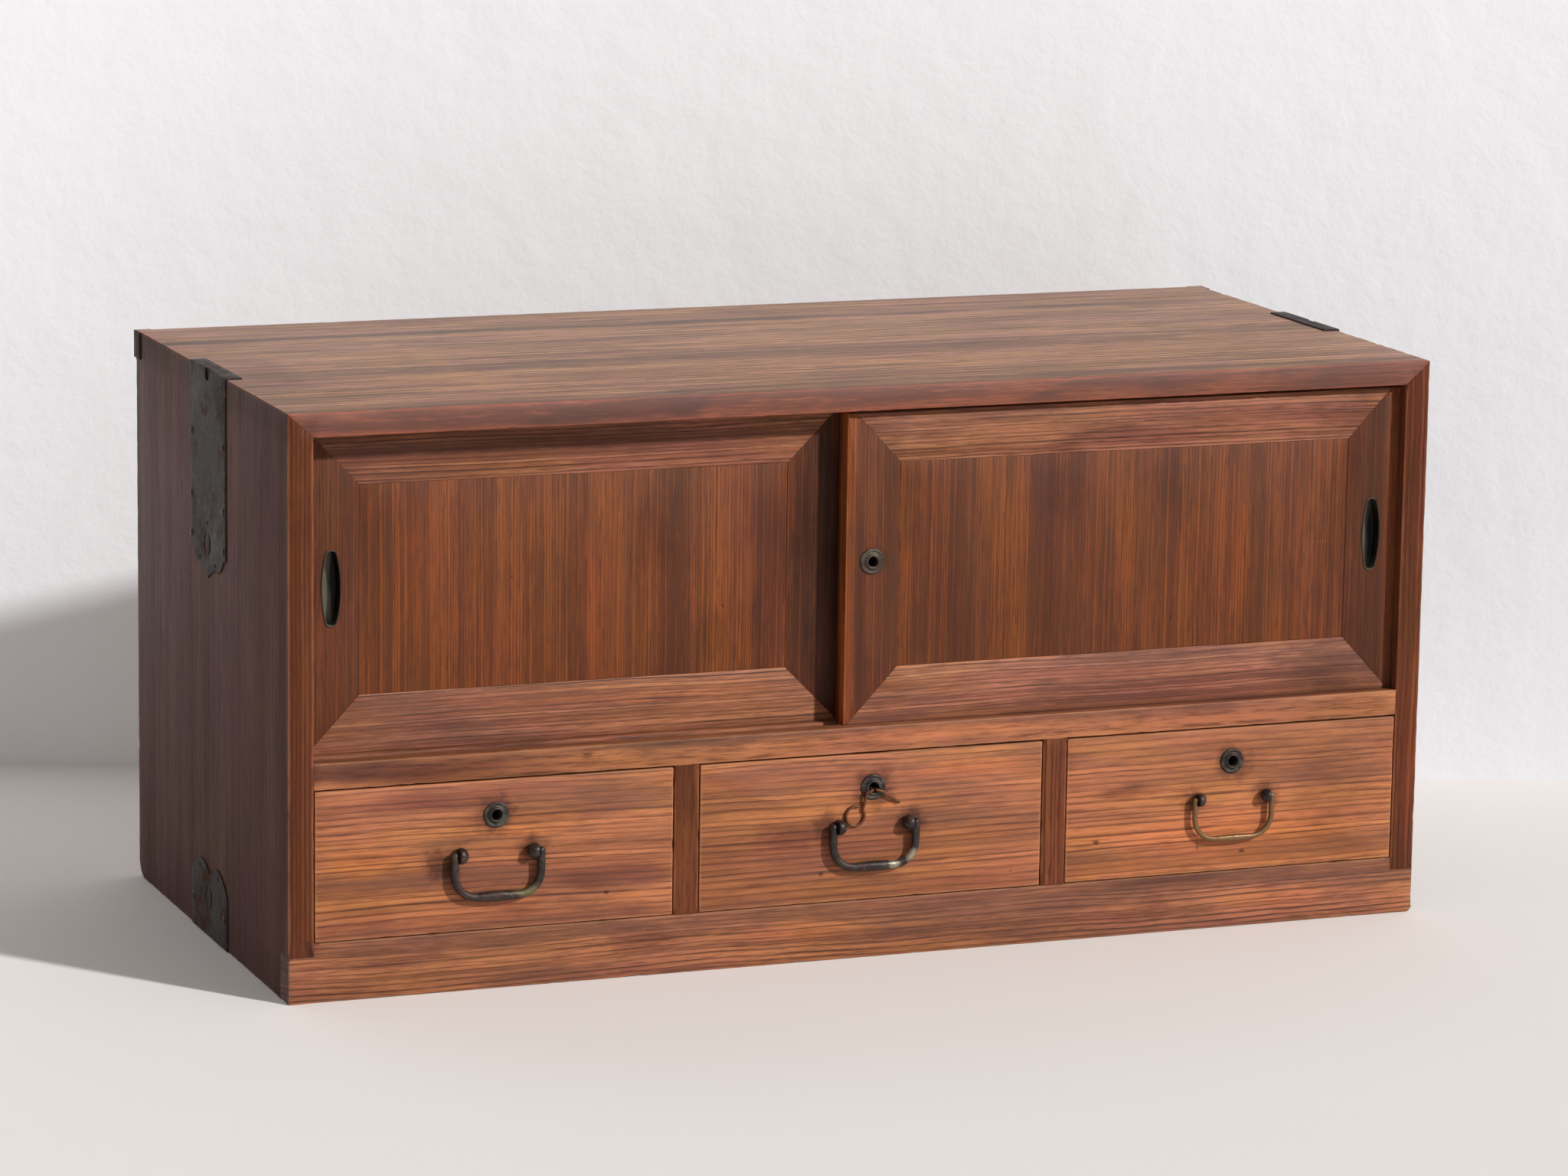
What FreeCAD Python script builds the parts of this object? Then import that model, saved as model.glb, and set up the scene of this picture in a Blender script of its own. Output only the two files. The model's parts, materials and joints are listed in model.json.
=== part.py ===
"""Low cabinet: two overlapping sliding doors above a row of three drawers.

Writes one STEP file per piece into parts/, in millimetres. X runs to the right,
-Y is the front and Z is up. The origin lies on the floor under the middle of the
whole object, handles and corner irons included.
"""
import FreeCAD
import Part

import math
import os

# Case
case_width = 909.0
case_depth = 415.0
case_height = 434.4
side_thick = 19.5
top_thick = 18.2
dado_depth = 6.0
dado_setback = 8.0
heel_round = 16.0
toe_round_left = 2.0
toe_round_right = 5.0

# Hidden dovetails under the mitred corners of the top
corner_lap = 7.0
corner_margin = 16.0
tail_count = 8
tail_width_share = 0.52
tail_flare_share = 0.16

# Rails, floors and dividers
base_height = 44.5
base_thick = 20.0
bottom_thick = 10.0
rear_rail_thick = 18.0
rear_rail_setback = 18.0
middle_rail_low = 158.0
middle_rail_thick = 19.6
middle_rail_depth = 60.0
middle_rail_lip = 8.0
shelf_thick = 10.0
divider_thick = 19.6
divider_seat = 3.0
tenon_thick = 6.5
tenon_length = 8.0
tenon_setback = 14.0

# Back boards and the patch let into the left foot
back_thick = 8.0
back_rabbet = 8.0
back_board_count = 3
back_board_lap = 6.0
patch_width = 11.0
patch_height = 11.5
patch_depth = 14.0

# Sliding doors
front_door_recess = 10.0
door_thick = 17.5
door_gap = 2.5
door_overlap = 42.0
door_side_gap = 0.5
door_floor_gap = 0.3
door_lift = 2.9
tongue_thick = 9.0
lower_tongue = 3.0
upper_tongue = 7.3
groove_gap = 0.3
sill_groove_depth = 3.0
top_groove_depth = 8.0
stile_width = 42.5
lap_stile_width = 81.5
door_rail_width = 45.2
panel_thick = 12.0
panel_tongue = 5.0
panel_tongue_depth = 6.0
panel_sink = 0.3
panel_gap = 0.2
rail_tenon_length = 26.0
rail_tenon_thick = 5.0
rail_tenon_margin = 10.0

# Long oval finger pulls
pull_rise = 2.25
pull_length = 57.0
pull_width = 15.0
pull_end_radius = 4.5
pull_arc_steps = 6
pull_rim = 1.2
pull_rim_proud = 1.0
pull_wall = 0.9
pull_depth = 8.0

# Round key plates and box locks
key_plate_radius = 10.0
key_plate_edge = 0.8
key_plate_boss = 2.6
key_hole_radius = 3.9
key_liner_radius = 6.0
key_liner_length = 4.0
turned_sides = 16
lock_width = 34.0
door_lock_width = 28.0
lock_height = 30.0
lock_thick = 9.5
lock_wall = 1.2
lock_drop = 11.5
lock_channel = 14.0
bolt_width = 12.0
bolt_foot_width = 22.0
bolt_foot_height = 3.0
bolt_foot_lift = 7.5
bolt_gap = 0.3
bolt_travel = 6.0
bolt_top_gap = 0.5
door_key_rise = 3.25
strike_width = 14.0
strike_height = 24.0
strike_depth = 8.0

# Drawers
drawer_front_thick = 18.0
drawer_side_gap = 0.8
drawer_top_gap = 1.2
drawer_front_lift = 0.7
drawer_run_gap = 0.3
drawer_back_gap = 0.8
drawer_side_thick = 9.0
drawer_side_top = 148.0
drawer_back_thick = 8.0
drawer_back_top = 144.0
drawer_back_inset = 5.0
drawer_bottom_thick = 6.0
drawer_front_lap = 6.0
drawer_bottom_lap = 10.0
drawer_housing = 3.0
drawer_key_height = 131.0

# Ball-headed posts and the bails that hang from them
post_spacing = 57.0
post_height = 103.0
post_stand = 5.0
post_neck_radius = 3.0
post_shank_half = 1.6
ball_sides = 12
ball_ring_angles = (-55, -25, 0, 25, 50, 72)
post_clench_length = 9.0
post_clench_width = 3.2
post_clench_thick = 1.2
ball_cheek = 1.5
cheek_gap = 0.4
pin_radius = 1.5
pin_gap = 0.06
pin_reach = 4.4
pin_end_gap = 0.5
bail_corner_radius = 17.0
bail_sides = 10
bail_head_shares = ((1.0, 0.55), (0.6, 0.9))
bail_swell_shares = ((0.35, 0.5), (0.7, 0.9))
heavy_ball_radius = 6.0
heavy_leg_radius = 2.9
heavy_swell_radius = 3.9
left_bail_drop = 36.0
middle_bail_drop = 35.5
light_ball_radius = 5.2
light_leg_radius = 2.0
light_swell_radius = 2.7
right_bail_drop = 34.0

# Bent wire hooked through the middle keyhole
wire_radius = 1.1
wire_ring_radius = 7.4
wire_ring_x = -14.6
wire_ring_drop = 21.0
wire_ring_start = 66.0
wire_ring_sweep = 331.0
wire_ring_steps = 15
wire_sides = 8
wire_stand = 0.3
wire_entry_depth = 1.5
wire_bight_radius = 1.7
wire_hook_drop = 1.6
wire_tail_x = 21.0
wire_tail_drop = 13.0

# Carrying irons on both sides
plate_thick = 1.2
plate_width = 98.0
plate_corner_height = 297.5
plate_tip_height = 277.0
plate_shoulder = 6.0
plate_knee_offset = 27.0
plate_knee_height = 285.0
plate_ogee_bulge = 2.4
plate_flange = 12.0
finger_notch_width = 11.0
finger_notch_depth = 9.0
plate_hole_radius = 1.6
plate_hole_sides = 10
plate_hole_height = 290.0
plate_hole_offset = 21.0
plate_eye_height = 319.0
crescent_radius = 11.0
crescent_width = 2.4
crescent_height = 303.0
crescent_sweep = 100.0
crescent_apart = 5.0
crescent_steps = 6

# Sliding pole loops behind the carrying irons
loop_width = 60.0
loop_thick = 4.8
loop_gap = 0.4
loop_bar = 8.0
loop_leg = 8.0
loop_foot = 6.0
loop_foot_height = 6.0
loop_channel_low = 302.0
loop_travel = 80.0

# Foot irons and corner irons
foot_plate_lift = 0.5
foot_plate_edge = 41.5
foot_plate_lobe = 57.0
foot_plate_lobe_offset = 25.0
foot_plate_dip = 48.8
foot_plate_bulge = 3.0
foot_hole_height = 51.0
foot_crescent_height = 31.0
corner_thick = 1.5
corner_reach = 15.0
corner_return = 12.0
corner_drop = 21.0

# Dome-headed nails
nail_head_radius = 3.2
nail_head_height = 1.5
nail_half = 1.1
nail_sides = 8
nail_dome_share = 0.7
nail_length = 12.0
nail_edge = 6.0
nail_height_shares = (0.05, 0.27, 0.62)
foot_nail_height = 24.0

# Room by which every cut runs past the face that it leaves
overrun = 10.0

# Straight runs that make up a bend of forged iron
bend_steps = 4

# Places worked out from the sizes above
handle_reach = post_stand + heavy_ball_radius
front = handle_reach - (handle_reach + case_depth + corner_thick) / 2
back = front + case_depth
middle_y = (front + back) / 2
half_width = case_width / 2
inner_half = half_width - side_thick
under_top = case_height - top_thick
under_lap = case_height - corner_lap
lap_x = half_width - corner_lap
base_low = base_height - bottom_thick
shelf_top = middle_rail_low + middle_rail_thick
shelf_low = shelf_top - shelf_thick
back_face = back - back_thick
rail_back = front + middle_rail_depth

bay_width = (2 * inner_half - 2 * divider_thick) / 3
bay_centres = [side * (bay_width + divider_thick) for side in (-1, 0, 1)]
divider_x = bay_width / 2

door_width = inner_half + door_overlap / 2 - door_side_gap
door_low = shelf_top - sill_groove_depth + door_floor_gap
door_low_shoulder = door_low + lower_tongue
door_top_shoulder = under_top - door_lift
door_top = door_top_shoulder + upper_tongue
door_middle = (door_low + door_top) / 2
pull_height = door_middle + pull_rise
door_key_height = door_middle + door_key_rise
front_door_face = front + front_door_recess
rear_door_face = front_door_face + door_thick + door_gap
groove_width = tongue_thick + 2 * groove_gap

channel_depth = loop_thick + 2 * loop_gap
channel_half = loop_width / 2 + loop_gap
channel_wide_half = channel_half + loop_foot
loop_low = loop_channel_low + loop_gap
channel_shoulder = loop_low + loop_foot_height + loop_travel + loop_gap
loop_outer = half_width - loop_gap
plate_top = case_height + plate_thick

bolt_thick = lock_thick - 2 * lock_wall - 2 * bolt_gap

wire_ring_height = drawer_key_height - wire_ring_drop
wire_tail_height = drawer_key_height - wire_tail_drop


def vec(x, y, z):
    """Point or direction."""
    return FreeCAD.Vector(x, y, z)


X_AXIS = vec(1, 0, 0)
Y_AXIS = vec(0, 1, 0)


def block(x0, x1, y0, y1, z0, z1):
    """Box between two opposite corners."""
    return Part.makeBox(x1 - x0, y1 - y0, z1 - z0, vec(x0, y0, z0))


def contour(start, steps):
    """Closed face: each step is the next point, or a pair (point on an arc, its end)."""
    edges = []
    last = start
    for step in steps + [start]:
        if isinstance(step, tuple):
            via, end = step
            edges.append(Part.Arc(last, via, end).toShape())
            last = end
        elif (step - last).Length > 0:
            edges.append(Part.makeLine(last, step))
            last = step
    return Part.Face(Part.Wire(edges))


def prism(points, run):
    """Straight-sided outline pushed along a vector."""
    return contour(points[0], points[1:]).extrude(run)


def rod(radius, start, end):
    """Cylinder between two points."""
    return Part.makeCylinder(radius, (end - start).Length, start, end - start)


def skin(rings, closed=False):
    """Solid that joins rings of equally many points, capped unless the last meets the first."""
    following = rings[1:] + rings[:1] if closed else rings[1:]
    faces = []
    for low, high in zip(rings, following):
        for index in range(len(low)):
            after = (index + 1) % len(low)
            faces += facet(low[index], low[after], high[after])
            faces += facet(low[index], high[after], high[index])
    if not closed:
        for ring in (rings[0], rings[-1]):
            if (ring[0] - ring[1]).Length > 0:
                faces.append(Part.Face(Part.makePolygon(ring + ring[:1])))
    shell = Part.makeShell(faces)
    shell.sewShape()
    solid = Part.makeSolid(shell).removeSplitter()
    if solid.Volume < 0:
        solid.reverse()
    return solid


def facet(a, b, c):
    """Triangle between three points, or nothing where two of them meet."""
    if min((a - b).Length, (b - c).Length, (c - a).Length) == 0:
        return []
    return [Part.Face(Part.makePolygon([a, b, c, a]))]


def polygon(centre, radius, across, along, sides):
    """Corners of a regular polygon in the plane of two directions."""
    corners = []
    for index in range(sides):
        turn = 2 * math.pi * index / sides
        offset = across * (radius * math.cos(turn)) + along * (radius * math.sin(turn))
        corners.append(centre + offset)
    return corners


def turned(centre, axis, across, profile, sides, closed=False):
    """Turned piece with small flats: the profile lists radius and distance along its axis."""
    along = axis.cross(across)
    rings = []
    for radius, distance in profile:
        middle = centre + axis * distance
        if radius > 0:
            rings.append(polygon(middle, radius, across, along, sides))
        else:
            rings.append([middle] * sides)
    return skin(rings, closed)


def forged_bar(points, radii, start_across, sides):
    """Bar with small flats, bent along points, with its own radius at each."""
    rings = []
    across = start_across
    for index, point in enumerate(points):
        before = points[max(index - 1, 0)]
        after = points[min(index + 1, len(points) - 1)]
        back_run = point - before
        fore_run = after - point
        for run in (back_run, fore_run):
            if run.Length > 0:
                run.normalize()
        direction = back_run + fore_run
        direction.normalize()
        up = direction.cross(across)
        up.normalize()
        across = up.cross(direction)
        rings.append(polygon(point, radii[index], across, up, sides))
    return skin(rings)


def joined(shapes):
    """One solid from shapes that touch or overlap."""
    whole = shapes[0].fuse(shapes[1:]) if len(shapes) > 1 else shapes[0]
    return whole.removeSplitter()


def mirrored(shape):
    """Copy on the other side of the middle of the cabinet."""
    return shape.mirror(vec(0, 0, 0), X_AXIS)


def on_both_sides(shape):
    """The shape and its mirror image, as two solids in one group."""
    return Part.makeCompound([shape, mirrored(shape)])


def save(name, shape):
    """Write one node's STEP file."""
    shape.exportStep(os.path.join("parts", name + ".step"))


def tails():
    """Hidden dovetail tails on the head of the right side, one per pitch."""
    low_y = front + corner_margin
    pitch = (case_depth - 2 * corner_margin) / tail_count
    half = pitch * tail_width_share / 2
    flare = (under_lap - under_top) * tail_flare_share
    made = []
    for index in range(tail_count):
        y = low_y + (index + 1 / 2) * pitch
        points = [
            vec(inner_half, y - half, under_top),
            vec(inner_half, y + half, under_top),
            vec(inner_half, y + half + flare, under_lap),
            vec(inner_half, y - half - flare, under_lap),
        ]
        made.append(prism(points, vec(lap_x - inner_half, 0, 0)))
    return made


def margin_wedges(inner_corner):
    """Plain mitred wedges at the front and back ends of a corner joint."""
    low = vec(inner_half, front, under_top)
    high = vec(lap_x, front, under_lap)
    corner = vec(inner_corner[0], front, inner_corner[1])
    wedge = prism([low, high, corner], vec(0, corner_margin, 0))
    far = wedge.copy()
    far.translate(vec(0, case_depth - corner_margin, 0))
    return [wedge, far]


def pole_channel():
    """Hollow in the right side and the top for a pole loop, narrow above its stop."""
    floor = half_width - channel_depth
    wide = block(floor, half_width + overrun, middle_y - channel_wide_half,
                 middle_y + channel_wide_half, loop_channel_low, channel_shoulder)
    narrow = block(floor, half_width + overrun, middle_y - channel_half,
                   middle_y + channel_half, loop_channel_low, case_height + overrun)
    return wide.fuse(narrow)


def nail_places():
    """Points on the right face where nails enter, on the plates and the corner iron."""
    offset = plate_width / 2 - nail_edge
    span = case_height - plate_corner_height
    heights = [plate_corner_height + share * span for share in nail_height_shares]
    heights.append(foot_nail_height)
    places = [(middle_y + side * offset, z) for side in (-1, 1) for z in heights]
    return places


def nail_holes():
    """Square bores for the nails through plates and wood on the right side."""
    outside = half_width + plate_thick + overrun
    return [block(half_width - nail_length, outside, y - nail_half, y + nail_half,
                  z - nail_half, z + nail_half) for y, z in nail_places()]


def back_boards_block():
    """Room that the back boards fill in the rabbets of sides and top."""
    reach = inner_half + back_rabbet
    return block(-reach, reach, back_face, back, base_height, under_top + back_rabbet)


def rear_rail():
    """Rail under the bottom near its back edge, housed in the sides."""
    reach = inner_half + dado_depth
    y1 = back - rear_rail_setback
    return block(-reach, reach, y1 - rear_rail_thick, y1, 0, base_low)


def bottom_board():
    """Floor of the drawer bays, in dados that stop behind the base rail."""
    reach = inner_half + dado_depth
    y0 = front + base_thick
    board = block(-inner_half, inner_half, y0, back, base_low, base_height)
    tongues = block(-reach, reach, y0 + dado_setback, back, base_low, base_height)
    return joined([board, tongues]).cut(divider_seats())


def divider_seats():
    """Shallow housings in the bottom for the feet of both dividers."""
    seat = block(divider_x, divider_x + divider_thick, front + base_thick, back_face,
                 base_height - divider_seat, base_height)
    return on_both_sides(seat)


def base_rail():
    """Bottom front board, lower at its ends where it passes under the sides."""
    left = vec(-half_width, front, toe_round_left)
    right_toe = vec(half_width - toe_round_right, front, 0)
    slant = 1 - math.sqrt(1 / 2)
    right_via = vec(half_width - slant * toe_round_right, front, slant * toe_round_right)
    left_via = vec(-half_width + slant * toe_round_left, front, slant * toe_round_left)
    steps = [
        (left_via, vec(-half_width + toe_round_left, front, 0)),
        right_toe,
        (right_via, vec(half_width, front, toe_round_right)),
        vec(half_width, front, base_low),
        vec(inner_half, front, base_low),
        vec(inner_half, front, base_height),
        vec(-inner_half, front, base_height),
        vec(-inner_half, front, base_low),
        vec(-half_width, front, base_low),
    ]
    return contour(left, steps).extrude(vec(0, base_thick, 0))


def door_grooves(low, high):
    """Both door grooves between the sides, from one height to another."""
    cuts = []
    for face in (front_door_face, rear_door_face):
        y = face + door_thick / 2
        cuts.append(block(-inner_half, inner_half, y - groove_width / 2,
                          y + groove_width / 2, low, high))
    return cuts


def bolt_mortises():
    """Mortises in the underside of the middle rail for the three lock bolts."""
    cuts = []
    for x in bay_centres:
        y0, y1 = bolt_span()
        half = bolt_width / 2 + bolt_top_gap
        depth = bolt_travel + drawer_top_gap
        cuts.append(block(x - half, x + half, y0 - bolt_gap, y1 + bolt_gap,
                          middle_rail_low - overrun, middle_rail_low + depth))
    return cuts


def divider_tenons():
    """Stub tenons on the heads of both dividers, stopped behind the front edge."""
    x = divider_x + (divider_thick - tenon_thick) / 2
    tenon = block(x, x + tenon_thick, front + tenon_setback,
                  rail_back - tenon_setback, middle_rail_low,
                  middle_rail_low + tenon_length)
    return on_both_sides(tenon)


def rail_tenons():
    """Stub tenons at both ends of the middle rail."""
    z = middle_rail_low + (middle_rail_thick - tenon_thick) / 2
    tenon = block(inner_half, inner_half + dado_depth, front + tenon_setback,
                  rail_back - middle_rail_lip, z, z + tenon_thick)
    return on_both_sides(tenon)


def shelf_board():
    """Cupboard floor behind the middle rail, resting on the rail's lip."""
    reach = inner_half + dado_depth
    return block(-reach, reach, rail_back - middle_rail_lip, back_face,
                 shelf_low, shelf_top)


def middle_rail():
    """Sill between doors and drawers, grooved above and mortised below."""
    rail = block(-inner_half, inner_half, front, rail_back, middle_rail_low, shelf_top)
    rail = joined([rail] + list(rail_tenons().Solids))
    rail = rail.cut(door_grooves(shelf_top - sill_groove_depth, shelf_top + overrun))
    return rail.cut(bolt_mortises()).cut(divider_tenons()).cut(shelf_board())


def divider():
    """Right divider between two drawers, stepped under the middle rail."""
    under_rail = block(divider_x, divider_x + divider_thick, front, rail_back,
                       base_height, middle_rail_low)
    under_shelf = block(divider_x, divider_x + divider_thick, rail_back, back_face,
                        base_height, shelf_low)
    foot = divider_seats().Solids[0]
    return joined([under_rail, under_shelf, foot, divider_tenons().Solids[0]])


def patch():
    """Square of wood let into the foot of the left side's front edge."""
    return block(-inner_half - patch_width, -inner_half, front, front + patch_depth,
                 base_low, base_low + patch_height)


def right_side():
    """Right side with dados, rabbet, worn heel, channel and hidden tails."""
    slant = 1 - math.sqrt(1 / 2)
    heel_via = vec(inner_half, back - slant * heel_round, slant * heel_round)
    steps = [
        vec(inner_half, back - heel_round, 0),
        (heel_via, vec(inner_half, back, heel_round)),
        vec(inner_half, back, under_top),
        vec(inner_half, front, under_top),
    ]
    board = contour(vec(inner_half, front, 0), steps).extrude(vec(side_thick, 0, 0))
    lap = prism([vec(lap_x, front, under_top), vec(half_width, front, under_top),
                 vec(half_width, front, case_height), vec(lap_x, front, under_lap)],
                vec(0, case_depth, 0))
    wedges = margin_wedges((lap_x, under_top))
    side = joined([board, lap] + tails() + wedges)
    notch = block(inner_half, half_width + overrun, front - overrun, front + base_thick,
                  -overrun, base_low)
    side = side.cut([notch, back_boards_block(), rear_rail(), bottom_board()])
    side = side.cut([shelf_board(), rail_tenons(), pole_channel()])
    return side.cut(nail_holes())


def top_board():
    """Top with mitred laps at its ends, hidden sockets and both door grooves."""
    body = block(-inner_half, inner_half, front, back, under_top, case_height)
    lap = prism([vec(inner_half, front, under_lap), vec(lap_x, front, under_lap),
                 vec(half_width, front, case_height), vec(inner_half, front, case_height)],
                vec(0, case_depth, 0))
    pins = block(inner_half, lap_x, front + corner_margin, back - corner_margin,
                 under_top, under_lap).cut(tails())
    end = joined([lap, pins] + margin_wedges((inner_half, under_lap)))
    board = joined([body, end, mirrored(end)])
    channel = pole_channel()
    board = board.cut(door_grooves(under_top - overrun, under_top + top_groove_depth))
    return board.cut([back_boards_block(), channel, mirrored(channel)])


def back_boards():
    """Horizontal back boards, each lapped over the one below."""
    reach = inner_half + back_rabbet
    top = under_top + back_rabbet
    pitch = (top - base_height) / back_board_count
    boards = []
    for index in range(back_board_count):
        low = base_height + index * pitch
        board = block(-reach, reach, back_face, back, low, low + pitch)
        if index > 0:
            board = board.cut(board_lap(reach, low))
        if index < back_board_count - 1:
            board = joined([board, board_lap(reach, low + pitch)])
        boards.append(board)
    return Part.makeCompound(boards)


def board_lap(reach, low):
    """Half-thick tongue of a back board, in front of the next board."""
    return block(-reach, reach, back_face, back_face + back_thick / 2,
                 low, low + back_board_lap)


def door_frame(face, panel_left, panel_right, mitre_left, mitre_right, left, right):
    """Stiles and rails of one door, mitred at the corners with hidden tenons."""
    low_in = door_low + door_rail_width
    high_in = door_top - door_rail_width
    run = vec(0, door_thick, 0)

    def at(x, z):
        return vec(x, face, z)

    def rail(z_in, z_out):
        return prism([at(panel_left, z_in), at(panel_right, z_in),
                      at(mitre_right, z_out), at(mitre_left, z_out)], run)

    def stile(x_in, x_mitre, x_out):
        return prism([at(x_in, low_in), at(x_mitre, door_low), at(x_out, door_low),
                      at(x_out, door_top), at(x_mitre, door_top), at(x_in, high_in)], run)

    mid = face + door_thick / 2
    tenons = []
    for z0, z1 in ((door_low_shoulder, low_in), (high_in, door_top_shoulder)):
        inside = rail_tenon_margin
        for x0, x1 in ((panel_left - rail_tenon_length, panel_left),
                       (panel_right, panel_right + rail_tenon_length)):
            tenons.append(block(x0, x1, mid - rail_tenon_thick / 2,
                                mid + rail_tenon_thick / 2, z0 + inside, z1 - inside))
    rails = [joined([rail(low_in, door_low), tenons[0], tenons[1]]),
             joined([rail(high_in, door_top), tenons[2], tenons[3]])]
    stiles = [stile(panel_left, mitre_left, left).cut([tenons[0], tenons[2]]),
              stile(panel_right, mitre_right, right).cut([tenons[1], tenons[3]])]
    waste = tongue_waste(face, left, right)
    waste.append(panel_groove(face, panel_left, panel_right, low_in, high_in))
    return ([piece.cut(waste) for piece in stiles],
            [piece.cut(waste) for piece in rails])


def tongue_waste(face, left, right):
    """Rebates that leave the thin running tongues along a door's two edges."""
    cheek = (door_thick - tongue_thick) / 2
    waste = []
    for z0, z1 in ((door_low - overrun, door_low_shoulder),
                   (door_top_shoulder, door_top + overrun)):
        for y0, y1 in ((face - overrun, face + cheek),
                       (face + door_thick - cheek, face + door_thick + overrun)):
            waste.append(block(left - overrun, right + overrun, y0, y1, z0, z1))
    return waste


def panel_groove(face, x0, x1, z0, z1):
    """Space that a panel's tongue fills inside the frame."""
    y = face + panel_sink + panel_thick - panel_tongue
    reach = panel_tongue_depth
    return block(x0 - reach, x1 + reach, y, y + panel_tongue, z0 - reach, z1 + reach)


def door_panel(face, x0, x1):
    """Flush door panel with a tongue round its back edge."""
    z0 = door_low + door_rail_width
    z1 = door_top - door_rail_width
    y = face + panel_sink
    board = block(x0 + panel_gap, x1 - panel_gap, y, y + panel_thick,
                  z0 + panel_gap, z1 - panel_gap)
    return joined([board, panel_groove(face, x0, x1, z0, z1)])


def oval(x, y, z, inset):
    """Long oval face whose points lie on four arcs, drawn in from the pull's edge."""
    half_w = pull_width / 2 - inset
    half_l = pull_length / 2 - inset
    end_r = pull_end_radius - inset
    rise = half_l - end_r
    side_r = (half_w ** 2 + rise ** 2 - end_r ** 2) / (2 * (half_w - end_r))
    turn = math.atan2(rise, side_r - half_w)
    quarter = []
    for step in range(pull_arc_steps + 1):
        angle = turn * step / pull_arc_steps
        quarter.append((half_w - side_r + side_r * math.cos(angle),
                        side_r * math.sin(angle)))
    for step in range(1, pull_arc_steps):
        angle = turn + (math.pi / 2 - turn) * step / pull_arc_steps
        quarter.append((end_r * math.cos(angle), rise + end_r * math.sin(angle)))
    upper = quarter + [(0, half_l)] + [(-dx, dz) for dx, dz in reversed(quarter)]
    lower = [(dx, -dz) for dx, dz in reversed(upper[1:-1])]
    points = [vec(x + dx, y, z + dz) for dx, dz in upper + lower]
    return contour(points[0], points[1:])


def pull_cup(x, face):
    """Outside of the cup that a finger pull lets into a stile."""
    outline = oval(x, face, pull_height, pull_rim - pull_wall)
    return outline.extrude(vec(0, pull_depth + pull_wall, 0))


def pull(x, face):
    """Finger pull: a thin proud rim round a hollow cup."""
    rim = oval(x, face, pull_height, 0).extrude(vec(0, -pull_rim_proud, 0))
    hollow = oval(x, face - pull_rim_proud, pull_height, pull_rim)
    hollow = hollow.extrude(vec(0, pull_rim_proud + pull_depth, 0))
    return joined([rim, pull_cup(x, face)]).cut(hollow)


def key_plate(x, face, z):
    """Round stepped key plate with a liner in the wood, turned about its hole."""
    step = (key_plate_radius - key_liner_radius) / 3
    hole = key_hole_radius
    profile = [
        (hole, key_liner_length),
        (key_liner_radius, key_liner_length),
        (key_liner_radius, 0),
        (key_plate_radius, 0),
        (key_plate_radius, -key_plate_edge),
        (key_plate_radius - step, -key_plate_edge * 2),
        (key_plate_radius - 2 * step, -key_plate_edge),
        (key_liner_radius, -key_plate_boss),
        (hole + step / 2, -key_plate_boss),
        (hole, -key_plate_edge * 2),
    ]
    return turned(vec(x, face, z), Y_AXIS, X_AXIS, profile, turned_sides, closed=True)


def lock_box(x, width, y_back, key_z):
    """Outside of a box lock, flush with the wood at its back."""
    low = key_z - lock_drop
    return block(x - width / 2, x + width / 2, y_back - lock_thick, y_back,
                 low, low + lock_height)


def key_bore(x, face, y_back, z):
    """Bore in the wood from the key plate to the lock."""
    profile = [(key_liner_radius, -overrun), (key_liner_radius, y_back - lock_thick - face)]
    return turned(vec(x, face, z), Y_AXIS, X_AXIS, profile, turned_sides)


def bolt_span():
    """Front and back of a lock bolt."""
    y0 = front + drawer_front_thick - lock_thick + lock_wall + bolt_gap
    return y0, y0 + bolt_thick


def lock_case(x, width, y_back, key_z, head_open):
    """Iron box lock: hollow, with a keyhole and, on a drawer, a slot for the bolt."""
    box = lock_box(x, width, y_back, key_z)
    y0 = y_back - lock_thick + lock_wall
    y1 = y_back - lock_wall
    low = key_z - lock_drop + lock_wall
    high = key_z - lock_drop + lock_height - lock_wall
    ledge = key_z + bolt_foot_lift
    half = lock_channel / 2
    wide = width / 2 - lock_wall
    keyhole = [(key_hole_radius, -overrun), (key_hole_radius, lock_wall)]
    hollows = [
        block(x - half, x + half, y0, y1, low, ledge),
        block(x - wide, x + wide, y0, y1, ledge, high),
        turned(vec(x, y0, key_z), Y_AXIS, X_AXIS, keyhole, turned_sides),
    ]
    if head_open:
        slot = bolt_width / 2 + bolt_gap
        hollows.append(block(x - slot, x + slot, y0, y1, ledge, high + overrun))
    return box.cut(hollows)


def lock_bolt(x):
    """Drawn-back lock bolt: a wide foot in the lock and a head under the edge."""
    y0, y1 = bolt_span()
    low = drawer_key_height + bolt_foot_lift + bolt_gap
    head = middle_rail_low - drawer_top_gap - bolt_top_gap
    foot_half = bolt_foot_width / 2
    foot = block(x - foot_half, x + foot_half, y0, y1, low, low + bolt_foot_height)
    shank = block(x - bolt_width / 2, x + bolt_width / 2, y0, y1, low, head)
    return joined([foot, shank])


def drawer_sizes(x):
    """Left and right faces, underside and back of the drawer in one bay."""
    half = bay_width / 2 - drawer_side_gap
    low = base_height + drawer_run_gap
    return x - half, x + half, low, back_face - drawer_back_gap


def drawer_sides(x):
    """Two drawer sides standing on the bottom and lapped by the front."""
    x0, x1, low, end = drawer_sizes(x)
    y0 = front + drawer_front_lap
    z0 = low + drawer_bottom_thick
    return [block(x0, x0 + drawer_side_thick, y0, end, z0, drawer_side_top),
            block(x1 - drawer_side_thick, x1, y0, end, z0, drawer_side_top)]


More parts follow.
